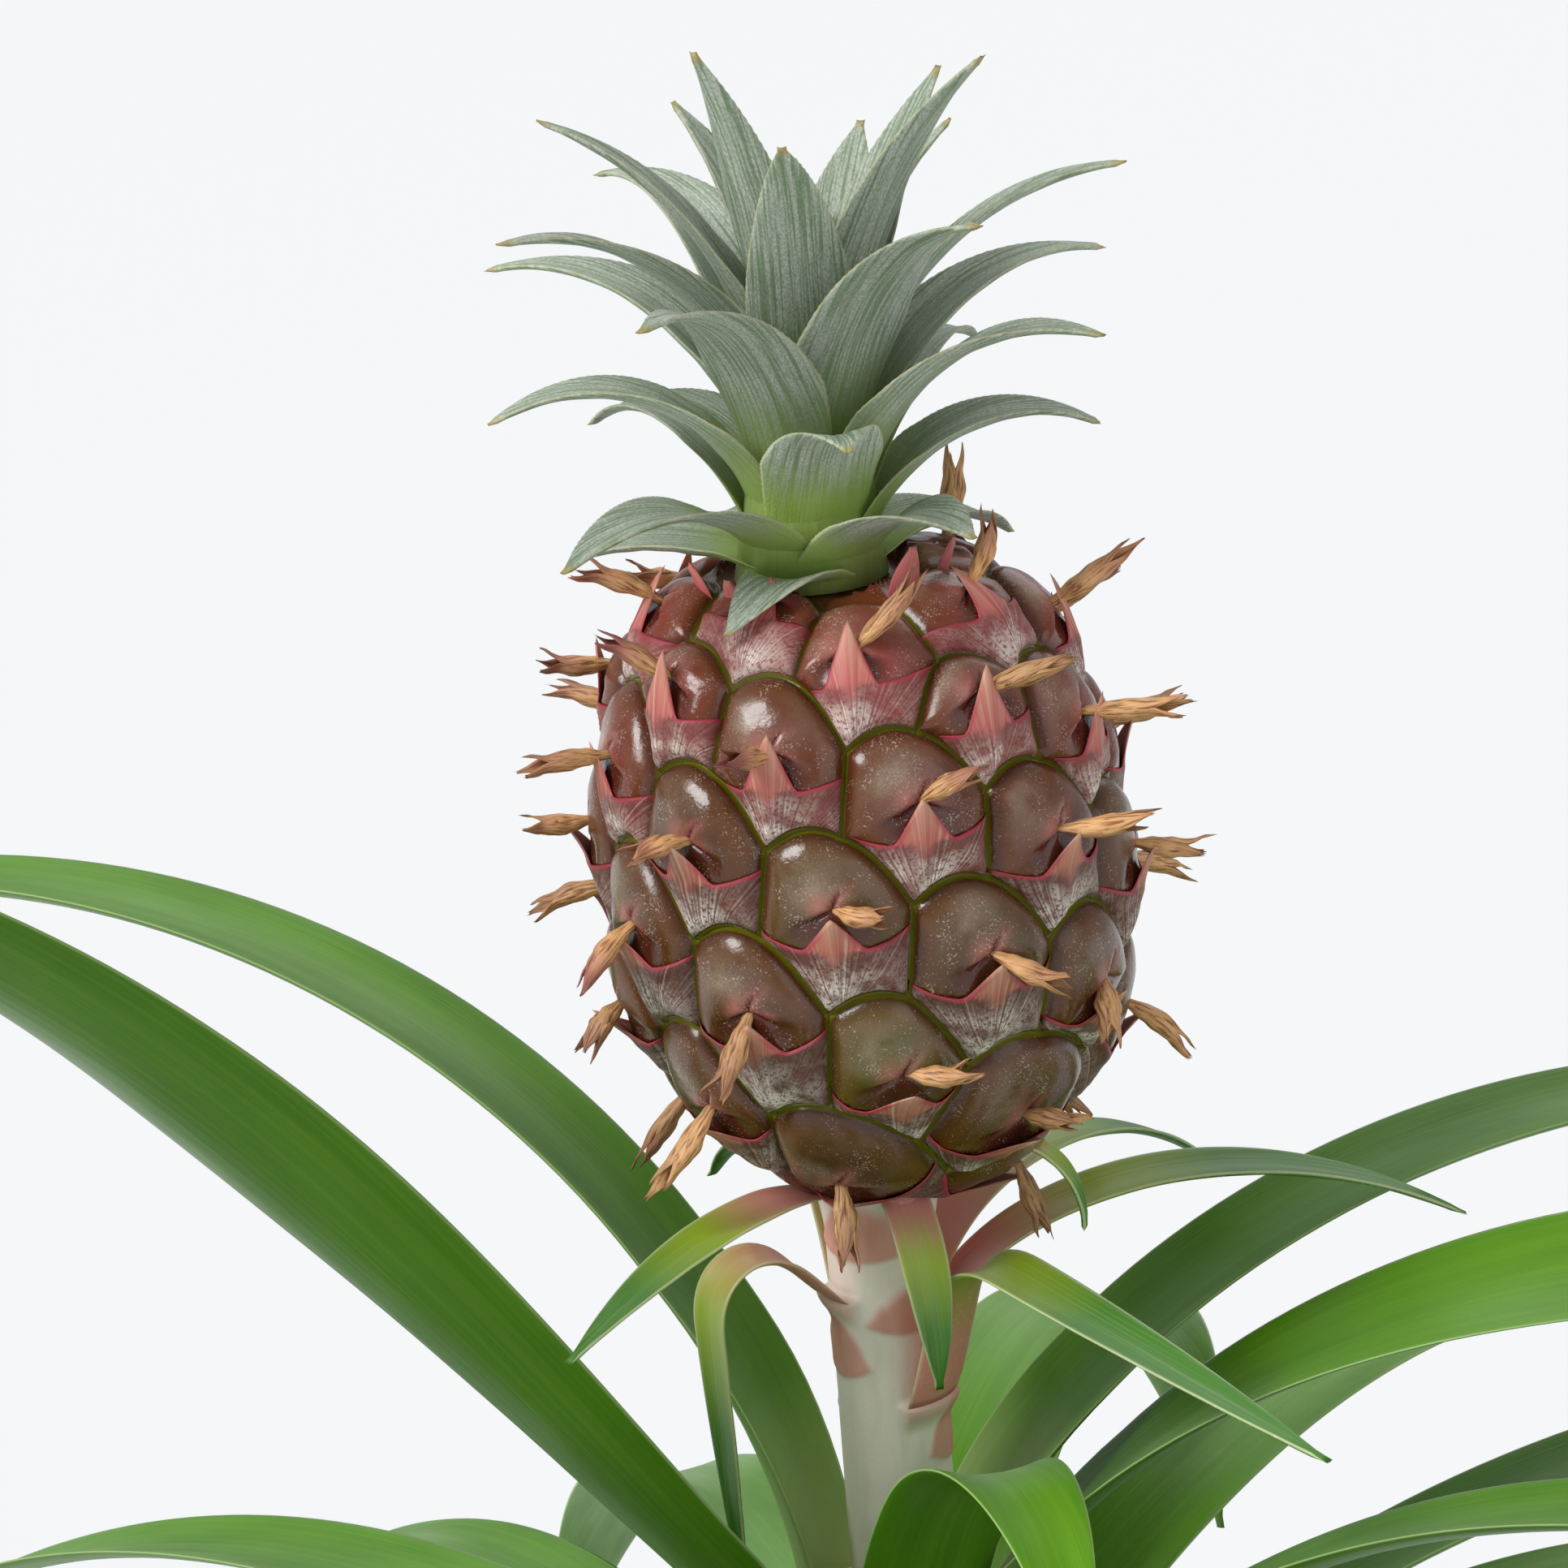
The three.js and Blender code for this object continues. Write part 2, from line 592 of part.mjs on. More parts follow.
// The dried flower in the middle of an eye: a thin four-sided spindle.
function driedFlower(eye) {
  const { length, aim } = flowerAim(eye);
  const side = new THREE.Vector3().crossVectors(UP, aim).normalize();
  const lift = new THREE.Vector3().crossVectors(aim, side);
  const root = eye.point.clone().addScaledVector(eye.normal, -1.5);
  const rings = [
    [0, 0.7],
    [0.42, 1.5],
    [0.72, 1.2],
    [1, 0.45],
  ];
  const positions = [];
  const index = [];
  rings.forEach(([s, radius], step) => {
    const middle = root.clone().addScaledVector(eye.normal, 4 * Math.min(s, 0.25));
    middle.addScaledVector(aim, length * s);
    for (let i = 0; i < 4; i++) {
      const angle = (i * Math.PI) / 2 + step * 0.35;
      const p = middle.clone().addScaledVector(side, radius * Math.cos(angle));
      p.addScaledVector(lift, radius * Math.sin(angle));
      positions.push(p.x, p.y, p.z);
      const j = (i + 1) % 4;
      const [a, b] = [step * 4 + i, step * 4 + j];
      if (step < rings.length - 1) index.push(a, b, b + 4, a, b + 4, a + 4);
    }
  });
  const last = (rings.length - 1) * 4;
  index.push(0, 2, 1, 0, 3, 2, last, last + 1, last + 2, last, last + 2, last + 3);
  const geometry = new THREE.BufferGeometry();
  geometry.setAttribute("position", new THREE.Float32BufferAttribute(positions, 3));
  geometry.setIndex(index);
  return geometry;
}

// A cylinder that cuts a flat seat into the fruit from above or below.
function seatCutter(radius, x, z) {
  return solid(new THREE.CylinderGeometry(radius, radius, 40, 24).rotateX(Math.PI / 2).translate(x, 0, z));
}

function fruit() {
  const all = eyes();
  let body = solid(eyeSurface(all));
  const clearOfCrown = CROWN.coreRadius + 7;
  const shown = all.filter((eye) => Math.hypot(eye.point.x, eye.point.y) > clearOfCrown || eye.point.z < 30);
  const clearOfStalk = STALK.radius + 4;
  const flowers = shown
    .filter((eye) => Math.hypot(eye.point.x, eye.point.y) > clearOfStalk)
    .map((eye) => solid(driedFlower(eye)));
  const leaves = FRUIT_LEAVES.map((leaf) => solid(smallLeaf(leaf)));
  body = wasm.Manifold.union([body, ...flowers, ...leaves]);
  body = body.subtract(seatCutter(CROWN.coreRadius + 3, CROWN.shift, FRUIT.height - FRUIT.flatTop + 20));
  body = body.subtract(seatCutter(STALK.radius + 3, 0, FRUIT.flatBottom - 20));
  const bracts = TOP_BRACTS.map((bract) =>
    solid(smallLeaf({ height: FRUIT.height - 4.3, rise: 78, fall: 66, bend: 1, halfWidth: 2.1, ...bract })),
  );
  body = wasm.Manifold.union([body, ...bracts]);
  place("fruit", geometryOf(largest(body)), MATERIALS.fruit, head);
}

// The crown: short recurved leaves at the foot, long arching ones above, and upright ones in the middle,
// all on one spiral round a tapering core.
function crownLeaf(k) {
  const t = k / CROWN.topLeaf;
  const step = clamp(k / 12, 0, 1);
  const over = clamp((k - 12) / (CROWN.topLeaf - 12), 0, 1);
  const radius = lerp(CROWN.coreRadius - 1.2, 1.6, t);
  const plainLength = k < 12 ? lerp(16, 42, step) : lerp(47, 35, over * over);
  const plainFall = lerp(-62, -26, step) + 92 * Math.pow(over, 1.25);
  const plainRise = lerp(56, 72, step) + 11 * over;
  const [length = plainLength, fall = plainFall, rise = plainRise, sway = 0] = CROWN_OWN[k] ?? [];
  return {
    azimuth: degrees(CROWN.frontTurn) + SPIRAL * (k - CROWN.frontLeaf),
    radius,
    height: 0.8 + 27 * Math.pow(t, 1.15),
    length,
    rise: degrees(rise),
    fall: degrees(fall),
    bend: lerp(1, 1.35, t),
    sway,
    roll: 0,
    sheath: 0.3,
    cup: 0.5,
    thickness: 0.7,
    halfWidth: crownWidth(Math.min(6.9, 0.95 * radius), Math.min(lerp(7.1, 4.2, over * over), 0.3 * length)),
  };
}

// The crown leaves that show best: length, the angle in degrees that they bend to, and for some the angle that
// they rise at and the sway.
const CROWN_OWN = {
  0: [20, -50, 45],
  1: [15.5, -52, 33, -0.35],
  2: [23.5, -40, 24],
  3: [20.5, -18, 22],
  4: [24, -24, 52],
  5: [28, -35, 48],
  6: [35.5, -27, 43],
  7: [33, -30],
  9: [33, -10],
  12: [43, -12],
  14: [52, -6],
  15: [44, -16],
  17: [53, 6],
  18: [42, 30],
  19: [52, -2],
  20: [49, 3],
  21: [50, -17],
  22: [47, 33],
  23: [42, 46],
  24: [47, 22],
  25: [50, 37],
  26: [27, 60],
  27: [46.5, 54],
  28: [33, 40],
  29: [35, 42],
};

function crownWidth(base, widest) {
  return (s) => {
    if (s < 0.3) return lerp(base, widest, s / 0.3);
    return Math.max(0.35, widest * (1 - Math.pow((s - 0.3) / 0.7, 1.5)));
  };
}

function crown() {
  const foot = FRUIT.height - FRUIT.flatTop + GAP;
  const { coreRadius, coreHeight } = CROWN;
  const shoulder = [coreRadius * 0.75, coreHeight * 0.5];
  const core = lathe([[0, 0], [coreRadius, 0], shoulder, [1, coreHeight], [0, coreHeight]], 12);
  const leaves = [];
  for (let k = 0; k < CROWN.leaves; k++) leaves.push(solid(bladeGeometry(crownLeaf(k), 5, 2)));
  const body = largest(wasm.Manifold.union([solid(core), ...leaves]));
  const lean = new THREE.Matrix4().makeShear(0, 0, 0, 0, CROWN.lean, 0);
  const geometry = geometryOf(body).applyMatrix4(lean).translate(CROWN.shift, 0, foot);
  place("crown", geometry, MATERIALS.crown, head);
}

pot();
soil();
stem();
rosette();
stalkLeaves();
fruit();
crown();

export default plant;
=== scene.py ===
import bisect
import math

import bmesh
import bpy
from mathutils import Matrix, Vector, noise


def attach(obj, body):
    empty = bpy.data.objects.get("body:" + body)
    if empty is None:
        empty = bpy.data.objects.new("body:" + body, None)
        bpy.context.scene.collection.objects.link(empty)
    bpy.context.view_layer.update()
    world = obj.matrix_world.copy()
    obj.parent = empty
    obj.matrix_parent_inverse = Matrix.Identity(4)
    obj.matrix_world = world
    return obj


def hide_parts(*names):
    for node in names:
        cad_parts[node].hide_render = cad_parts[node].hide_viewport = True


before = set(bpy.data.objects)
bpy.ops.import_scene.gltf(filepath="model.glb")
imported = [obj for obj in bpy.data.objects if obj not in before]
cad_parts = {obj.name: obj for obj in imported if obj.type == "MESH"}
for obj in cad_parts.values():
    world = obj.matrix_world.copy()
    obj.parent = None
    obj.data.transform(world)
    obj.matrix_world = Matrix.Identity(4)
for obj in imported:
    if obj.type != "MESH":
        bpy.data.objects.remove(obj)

bl_info = {
    "name": "Potted pineapple plant",
    "version": (1, 0, 0),
    "blender": (4, 5, 0),
    "location": "3D View > Sidebar > Pineapple",
    "description": "Builds the looks of a dwarf pineapple plant over its fixed frame",
    "category": "Add Mesh",
}

MM = 0.001
UP = Vector((0, 0, 1))
# The golden angle, by which each leaf and eye turns from the one before
SPIRAL_DEGREES = 137.508
SPIRAL = math.radians(SPIRAL_DEGREES)
# Air between neighbouring pieces
GAP = 0.3
# Half the angle that a strap leaf's base clasps the trunk by
BASE_ARC = 1.05


# Plain helpers


def linear(code):
    """A colour written as sRGB hex, as linear red, green and blue."""
    parts = [int(code[i : i + 2], 16) / 255 for i in (1, 3, 5)]
    return tuple(c / 12.92 if c <= 0.04045 else ((c + 0.055) / 1.055) ** 2.4 for c in parts)


def lerp(a, b, t):
    return a + (b - a) * t


def clamp(x, low=0.0, high=1.0):
    return max(low, min(high, x))


def smoothstep(x, low, high):
    t = clamp((x - low) / (high - low))
    return t * t * (3 - 2 * t)


def draw(item, salt):
    """A repeatable draw from -1 to 1 for a numbered item."""
    x = math.sin(item * 12.9898 + salt * 78.233) * 43758.5453
    return 2 * (x - math.floor(x)) - 1


def waver(x, y, z):
    """Smooth noise from about -1 to 1."""
    return noise.noise(Vector((x, y, z)))


def bulge(u, row, rows, power):
    """Thickness of a thin sheet at a place, from 1 in its middle to 0 at all its edges."""
    return min(1, row / 2, (rows - row) / 2) * math.sqrt(max(0, 1 - abs(u) ** power))


def outward(azimuth):
    """The level direction at an azimuth: 0 faces the front and a quarter turn faces +X."""
    return Vector((math.sin(azimuth), -math.cos(azimuth), 0))


def sideways(azimuth):
    """The level direction across an azimuth, to the right as seen from outside."""
    return Vector((math.cos(azimuth), math.sin(azimuth), 0))


# Sizes and colours that a user may change


def colour_setting(name, description, code):
    default = linear(code)
    return bpy.props.FloatVectorProperty(name=name, description=description, subtype="COLOR", default=default)


def size_setting(name, description, millimetres, least=0):
    description += ", in millimetres"
    return bpy.props.FloatProperty(name=name, description=description, default=millimetres, min=least)


class PotSettings(bpy.types.PropertyGroup):
    """The clay pot and what fills it."""

    clay: colour_setting("Clay", "Colour of the fired clay", "#b56f49")
    soil: colour_setting("Soil", "Colour of the moist potting soil", "#2c2018")
    lump: size_setting("Soil lumps", "How far the soil's top goes up and down", 1.3)


class LeafSettings(bpy.types.PropertyGroup):
    """The rosette's strap leaves and the small leaves on the stalk."""

    upper: colour_setting("Upper side", "Colour of a leaf's upper side", "#578d14")
    under: colour_setting("Underside", "Colour of a leaf's underside", "#4d8012")
    young: colour_setting("Young green", "Colour of the stalk leaves' blades", "#93ad25")
    blush: colour_setting("Blush", "Colour of the stalk leaves' bases", "#dd9184")
    thickness: size_setting("Thickness", "Thickness of a strap leaf", 0.9, 0.3)


class FruitSettings(bpy.types.PropertyGroup):
    """The fruit's eyes, scales and dried flowers."""

    skin: colour_setting("Skin", "Colour of an eye's skin", "#4b290a")
    # The bloom colour is laid thinly as real bloom and, much more strongly, as a painted highlight on each
    # eye's upper left
    bloom: colour_setting("Bloom", "Colour of the waxy bloom on an eye", "#968370")
    groove: colour_setting("Groove", "Colour of the groove between eyes", "#6c6c10")
    scale: colour_setting("Scale", "Colour of a scale's tip", "#a85c4c")
    flower: colour_setting("Flower", "Colour of a dried flower", "#dfab71")
    dome: size_setting("Dome", "Height of an eye over the fruit's round form", 1.9)
    groove_depth: size_setting("Groove depth", "Depth of the groove between eyes", 1.5)


class CrownSettings(bpy.types.PropertyGroup):
    """The crown's leaves."""

    scurf: colour_setting("Scurf", "Colour of the silvery scurf", "#d2d8cc")
    green: colour_setting("Green", "Colour of the leaf under the scurf", "#58754a")
    tooth: size_setting("Tooth", "Height of a tooth on a leaf's margin", 0.08)


# Materials

# On Object coordinates a noise scale of 1000 / 5 gives spots about 5 mm wide. A mesh's own values are in
# millimetres already, so there 0.2 does. Flour and flecks are finer on a real plant, and are drawn to show.


def start_material(name, roughness, **sockets):
    """A new material, with the finish that is the same all over it."""
    m = bpy.data.materials.new(name)
    m.use_nodes = True
    shader = m.node_tree.nodes["Principled BSDF"]
    shader.inputs["Roughness"].default_value = roughness
    for socket, value in sockets.items():
        shader.inputs[socket.replace("_", " ")].default_value = value
    return m


def add_node(m, kind, *plain, output=None, **given):
    """Adds a node and gives back an output. Values and other nodes' outputs fill its inputs in order.

    Of the named ones, those that start with a capital are inputs too, and the others are the node's settings.
    """
    node = m.node_tree.nodes.new("ShaderNode" + kind)
    named = {name: given.pop(name) for name in list(given) if name[0].isupper()}
    for name, value in given.items():
        setattr(node, name, value)
    used = [socket for socket in node.inputs if socket.enabled]
    for socket, value in [*zip(used, plain), *((node.inputs[name], value) for name, value in named.items())]:
        if isinstance(value, bpy.types.NodeSocket):
            m.node_tree.links.new(value, socket)
        elif socket.type == "RGBA":
            socket.default_value = (*(linear(value) if isinstance(value, str) else value), 1)
        else:
            socket.default_value = value
    return node.outputs[output] if output else next(socket for socket in node.outputs if socket.enabled)


def mesh_values(m, name):
    """The vector that the mesh gives its material under a name, and the vector's three numbers."""
    vector = add_node(m, "Attribute", output="Vector", attribute_name=name)
    return vector, *add_node(m, "SeparateXYZ", vector).node.outputs


def mask(m, spread):
    """A mask from a value, the two values it spreads between and the cover at each. A plain mask stays."""
    return add_node(m, "MapRange", *spread) if isinstance(spread, tuple) else spread


def where_all(m, *spreads):
    """How far all masks hold at a place: their product."""
    whole = mask(m, spreads[0])
    for spread in spreads[1:]:
        whole = add_node(m, "Math", whole, mask(m, spread), operation="MULTIPLY")
    return whole


def coats(m, colour, *layers):
    """Lays coats of colour over a first one. Each coat is a mask, or what makes it, and a colour."""
    for spread, coat in layers:
        colour = add_node(m, "Mix", mask(m, spread), colour, coat, data_type="RGBA")
    return colour


def shade(m, colour, *spread):
    """Makes a colour darker or paler by a value, between two factors."""
    return add_node(m, "VectorMath", colour, mask(m, spread), operation="SCALE")


def grain(m, place, spots, detail):
    """Noise with its own number of spots per unit of length in each direction."""
    return add_node(m, "TexNoise", add_node(m, "Mapping", place, Scale=spots), 1, detail)


def finish_material(m, colour, relief, strength, depth, rough=None):
    """Links the colour, the relief, with its depth in millimetres, and the roughness where it changes."""
    links = {
        "Base Color": colour,
        "Normal": add_node(m, "Bump", Height=relief, Strength=strength, Distance=depth * MM),
        "Roughness": rough,
    }
    for socket, output in links.items():
        if output:
            m.node_tree.links.new(output, m.node_tree.nodes["Principled BSDF"].inputs[socket])
    return m


def fired_clay(settings):
    """Unglazed terracotta, thrown and fired: matt and chalky, with pale salt bloom and fine grit."""
    m = start_material("unglazed terracotta", 0.86)
    place = add_node(m, "TexCoord", output="Object")
    cloud = add_node(m, "TexNoise", place, 1000 / 22, 5)
    grit = add_node(m, "TexNoise", place, 1000 / 0.8, 2)
    high = add_node(m, "SeparateXYZ", place, output="Z")
    damp = [c * 0.62 for c in settings.clay]
    salt = ((cloud, 0.5, 0.75, 0, 0.35), "#d7ab90")
    colour = coats(m, settings.clay, ((high, 0, 0.06, 0.55, 0), damp), salt)
    colour = shade(m, colour, grit, 0.35, 0.65, 0.88, 1.1)
    return finish_material(m, colour, grit, 0.25, 0.2)


def potting_soil(settings):
    """Moist peat with bark crumbs: nearly black brown, matt, with paler fibres."""
    m = start_material("moist peat potting soil", 0.95)
    crumb = add_node(m, "TexNoise", add_node(m, "TexCoord", output="Object"), 1000 / 2.5, 6)
    colour = coats(m, settings.soil, ((crumb, 0.45, 0.7, 0, 0.7), "#5e4531"))
    return finish_material(m, colour, crumb, 0.7, 1)


def strap_leaf_skin(settings):
    """A bromeliad's smooth waxy cuticle: glossy mid green with fine veins, paler margins and base."""
    m = start_material("waxy strap leaf cuticle", 0.4, Specular_IOR_Level=0.26)
    place, _, _, edge = mesh_values(m, "blade")
    _, share, side, tone = mesh_values(m, "skin")
    veins = grain(m, place, (1.1, 0.012, 1), 4)
    lines = grain(m, place, (4, 0.05, 1), 2)
    cloud = grain(m, place, (0.05, 0.03, 1), 3)
    colour = coats(
        m,
        settings.upper,
        (side, settings.under),
        ((cloud, 0.35, 0.7, 0, 0.4), "#2c5a0c"),
        ((veins, 0.45, 0.72, 0, 0.2), "#7ba336"),
        ((share, 0.01, 0.12, 0.8, 0), "#b9c98a"),
        ((edge, 0.965, 0.995, 0, 0.6), "#b8cc8e"),
    )
    colour = shade(m, colour, tone, -1, 1, 0.82, 1.15)
    return finish_material(m, colour, lines, 0.22, 0.3, mask(m, (cloud, 0.3, 0.7, 0.32, 0.46)))


def stalk_leaf_skin(settings):
    """Thin young leaves: satin, pink where they clasp the stalk, then yellow-green to green."""
    m = start_material("thin young leaf cuticle", 0.42)
    place, _, along, edge = mesh_values(m, "blade")
    _, share, side, tone = mesh_values(m, "skin")
    veins = grain(m, place, (2.6, 0.03, 1), 4)
    flour = add_node(m, "TexNoise", place, 2.2, 3)
    at = add_node(m, "Math", share, mask(m, (veins, 0.2, 0.8, -0.08, 0.08)), operation="ADD")
    tip = mask(m, (at, 0.42, 0.72, 0, 1))
    green = add_node(m, "Math", tip, mask(m, (along, 24, 38, 0, 1)), operation="MAXIMUM")
    low = mask(m, (at, 0.17, 0.4, 1, 0))
    pink = add_node(m, "Math", low, mask(m, (along, 8, 22, 1, 0)), operation="MINIMUM")
    colour = coats(
        m,
        settings.young,
        (green, "#437c22"),
        (pink, settings.blush),
        ((veins, 0.5, 0.75, 0, 0.16), "#d5d6a8"),
        (where_all(m, side, (flour, 0.58, 0.7, 0, 0.35)), "#e3e6dc"),
        ((edge, 0.9, 0.98, 0, 0.6), "#cfd6a6"),
    )
    return finish_material(m, shade(m, colour, tone, -1, 1, 0.85, 1.1), veins, 0.2, 0.3)


def crown_leaf_skin(settings):
    """Leaves under silvery scurf: matt grey-green, fine dark stripes, greener bases, yellowish margins."""
    m = start_material("scurfy crown leaf", 0.62)
    place, _, along, edge = mesh_values(m, "blade")
    _, share, _, tone = mesh_values(m, "skin")
    stripes = grain(m, place, (3.2, 0.06, 1), 3)
    flakes = grain(m, place, (5, 2.2, 1), 3)
    cloud = grain(m, place, (0.15, 0.1, 1), 3)
    cover = where_all(m, (stripes, 0.38, 0.56, 0.3, 1), (flakes, 0.36, 0.6, 0.5, 1))
    short = mask(m, (share, 0.12, 0.42, 0.2, 1))
    away = add_node(m, "Math", short, mask(m, (along, 4, 18, 0.2, 1)), operation="MAXIMUM")
    colour = coats(
        m,
        "#a2bd4b",
        (away, settings.green),
        (where_all(m, cover, away), coats(m, settings.scurf, (cloud, "#a3ab9c"))),
        ((edge, 0.95, 0.99, 0, 0.6), "#c3bf90"),
        ((share, 0.95, 0.99, 0, 0.8), "#a8924c"),
    )
    return finish_material(m, shade(m, colour, tone, -1, 1, 0.88, 1.08), cover, 0.35, 0.2)


def stalk_skin():
    """A floury stalk: matt greenish white bloom over green, with pink where leaves left it."""
    m = start_material("floury pineapple stalk", 0.75)
    place = add_node(m, "TexCoord", output="Object")
    _, pink, _, _ = mesh_values(m, "marks")
    streak = grain(m, place, (1000 / 1.8, 1000 / 1.8, 1000 / 12), 4)
    flour = add_node(m, "TexNoise", place, 1000 / 0.5, 3)
    blush = coats(m, "#d99383", (streak, "#edbcab"))
    colour = coats(m, "#f6efe2", ((streak, 0.5, 0.75, 0, 0.35), "#cfcba6"), (pink, blush))
    return finish_material(m, colour, flour, 0.25, 0.2)


def eye_skin(settings):
    """A pineapple eye's waxy skin: olive, chestnut or rose brown under a grey bloom, with white flecks, a
    painted highlight on its upper left and painted shade in its creases, in the lobes under its side folds
    and towards its groove.
    """
    m = start_material("waxy pineapple eye skin", 0.3)
    place = add_node(m, "TexCoord", output="Object")
    _, lip, bloom_and_painted_highlight, rim = mesh_values(m, "cell")
    _, crease, blush, tone = mesh_values(m, "marks")
    cloud = add_node(m, "TexNoise", place, 1000 / 5, 4)
    fleck = add_node(m, "TexNoise", place, 1000 / 0.24, 2)
    patch = add_node(m, "TexNoise", place, 1000 / 3, 3)
    pebble = add_node(m, "TexNoise", place, 1000 / 0.6, 3)
    over = add_node(m, "Math", fleck, mask(m, (patch, 0.38, 0.7, 0.72, 0.56)), operation="SUBTRACT")
    colour = coats(
        m,
        settings.skin,
        ((tone, -1, 0, 0.9, 0), "#545220"),
        ((tone, 0.45, 1, 0, 0.9), "#84332c"),
        ((rim, 0.45, 0.8, 0, 0.55), "#643810"),
        # Bloom and painted highlight: a faint real bloom over the eye's upper half and a strong painted
        # highlight on its upper left, in the bloom colour, broken by cloud and flecks
        (where_all(m, bloom_and_painted_highlight, (cloud, 0.32, 0.68, 0.1, 1), (fleck, 0.3, 0.6, 0.55, 1)), settings.bloom),
        (blush, "#bb756a"),
        # Painted shade: darker brown in the two lobes that lie deeper under the side folds
        (lip, "#4a2013"),
        # A dark red line along each fold's crease: partly the fold's own red, partly painted shade in the
        # crease
        (crease, "#54191f"),
        ((over, 0, 0.06, 0, 0.32), "#e6ddd6"),
        # Painted shade: darker brown where the dome slopes down towards the groove
        ((rim, 0.8, 0.96, 0, 0.6), "#35180a"),
        ((rim, 0.952, 0.98, 0, 1), settings.groove),
    )
    return finish_material(m, colour, pebble, 0.16, 0.3, mask(m, (cloud, 0.3, 0.7, 0.16, 0.3)))


def scale_skin(settings):
    """The papery scale over an eye: streaks of white flour on red-brown, a red edge, a tip that dries tan."""
    m = start_material("papery pineapple scale", 0.55)
    place = add_node(m, "TexCoord", output="Object")
    cell, _, middle, up = mesh_values(m, "cell")
    _, tip, edge, rose = mesh_values(m, "marks")
    veins = grain(m, cell, (2.4, 0, 0), 4)
    flour = where_all(
        m,
        (add_node(m, "TexNoise", place, 1000 / 0.4, 4), 0.36, 0.5, 0.15, 1),
        (add_node(m, "TexNoise", place, 1000 / 2.6, 4), 0.38, 0.58, 0.2, 1),
        (veins, 0.4, 0.56, 0.2, 1),
        (up, 0.3, 0.95, 1, 0.15),
        (middle, 0, 0.8, 0.3, 1),
    )
    dry = mask(m, (tip, 0.1, 0.8, 0, 0.5))
    papery = add_node(m, "Math", dry, mask(m, (veins, 0.42, 0.62, 0, 0.45)), operation="ADD")
    colour = coats(
        m,
        "#542a1d",
        (rose, "#8c3433"),
        (flour, "#f6ede2"),
        (edge, "#97303c"),
        ((tip, -0.55, 0.1, 0, 0.95), coats(m, settings.scale, (rose, "#c24f58"), (papery, "#d3ab8c"))),
        ((veins, 0.6, 0.68, 0, 0.4), "#ecdcd2"),
        ((edge, 0, 1, 0, 0.8), "#a32c40"),
    )
    return finish_material(m, colour, veins, 0.35, 0.3)


def dried_petal(settings):
    """Withered petals: straw and tan, wrinkled along their length with brown lines, some with purple tips."""
    m = start_material("withered petal", 0.5)
    cell, *_ = mesh_values(m, "cell")
    _, _, purple, tone = mesh_values(m, "marks")
    wrinkle = grain(m, cell, (2.8, 2.8, 0.35), 4)
    colour = coats(
        m,
        "#8a5430",
        ((wrinkle, 0.36, 0.52, 0, 1), settings.flower),
        ((wrinkle, 0.62, 0.75, 0, 0.7), "#efd2ac"),
        (purple, "#8a4349"),
    )
    return finish_material(m, shade(m, colour, tone, -2, 1, 0.5, 1.12), wrinkle, 0.6, 0.4)


# Meshes

# Points closer than this, in millimetres, are one
SAME_PLACE = 0.002


def as_object(name, bm):
    """An object in the scene, made from a finished bmesh."""
    mesh = bpy.data.meshes.new(name)
    bm.to_mesh(mesh)
    bm.free()
    made = bpy.data.objects.new(name, mesh)
    bpy.context.scene.collection.objects.link(made)
    return made


class Shell:
    """A mesh in the making, in millimetres, with the values that its material reads at each point."""

    def __init__(self, *layers):
        self.bm = bmesh.new()
        self.layers = [self.bm.verts.layers.float_vector.new(name) for name in layers]

    def grid(self, across, along, place):
        """Moves a grid's points to their places. place(turn, row) gives a point and its values."""
        made = bmesh.ops.create_grid(self.bm, x_segments=across, y_segments=along, size=1)["verts"]
        for vert in made:
            vert.co, values = place((vert.co.x + 1) / 2, round((vert.co.y + 1) / 2 * along))
            for layer, value in zip(self.layers, values):
                vert[layer] = value
        bmesh.ops.remove_doubles(self.bm, verts=made, dist=SAME_PLACE)

    def sheet(self, across, along, shape):
        """A sheet whose two faces meet at its edges. shape(u, row, side) gives a point and its values."""

        def place(turn, row):
            side = 0 if turn <= 0.5 else 1
            step = 3 - 4 * turn if side else 4 * turn - 1
            return shape(math.sin(step * math.pi / 2), row, side)

        self.grid(2 * across, along, place)

    def tube(self, around, along, shape):
        """A skin round a line. shape(turn, row) gives a point and its values; a row of no size closes it."""
        self.grid(around, along, lambda turn, row: shape(round(turn * around) % around, row))

    def finish(self, name, material, slot, *nodes, seat=None):
        """Closes the shell, turns it into metres in its place and hangs it on the frame as a piece."""
        bm = self.bm
        if seat is not None:
            bmesh.ops.transform(bm, matrix=seat, verts=bm.verts)
        bmesh.ops.transform(bm, matrix=Matrix.Scale(MM, 4), verts=bm.verts)
        bmesh.ops.recalc_face_normals(bm, faces=bm.faces)
        for face in bm.faces:
            face.smooth = True
        piece = as_object(name, bm)
        piece.data.materials.append(material)
        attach(piece, "root")
        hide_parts(*nodes)
        return piece


# Leaf blades


def strap_width(base, widest):
    """Half the width along a strap leaf: a clasping base, a slight waist and a long point."""

    def half_width(s):
        if s < 0.35:
            return lerp(base, widest, smoothstep(s, 0, 0.14))
        return max(0.4, widest * (1 - ((s - 0.35) / 0.65) ** 1.9))

    return half_width


def crown_width(base, widest):
    """Half the width along a crown leaf: widest near its base, then a long point."""

    def half_width(s):
        if s < 0.3:
            return lerp(base, widest, s / 0.3)
        return max(0.35, widest * (1 - ((s - 0.3) / 0.7) ** 1.5))

    return half_width


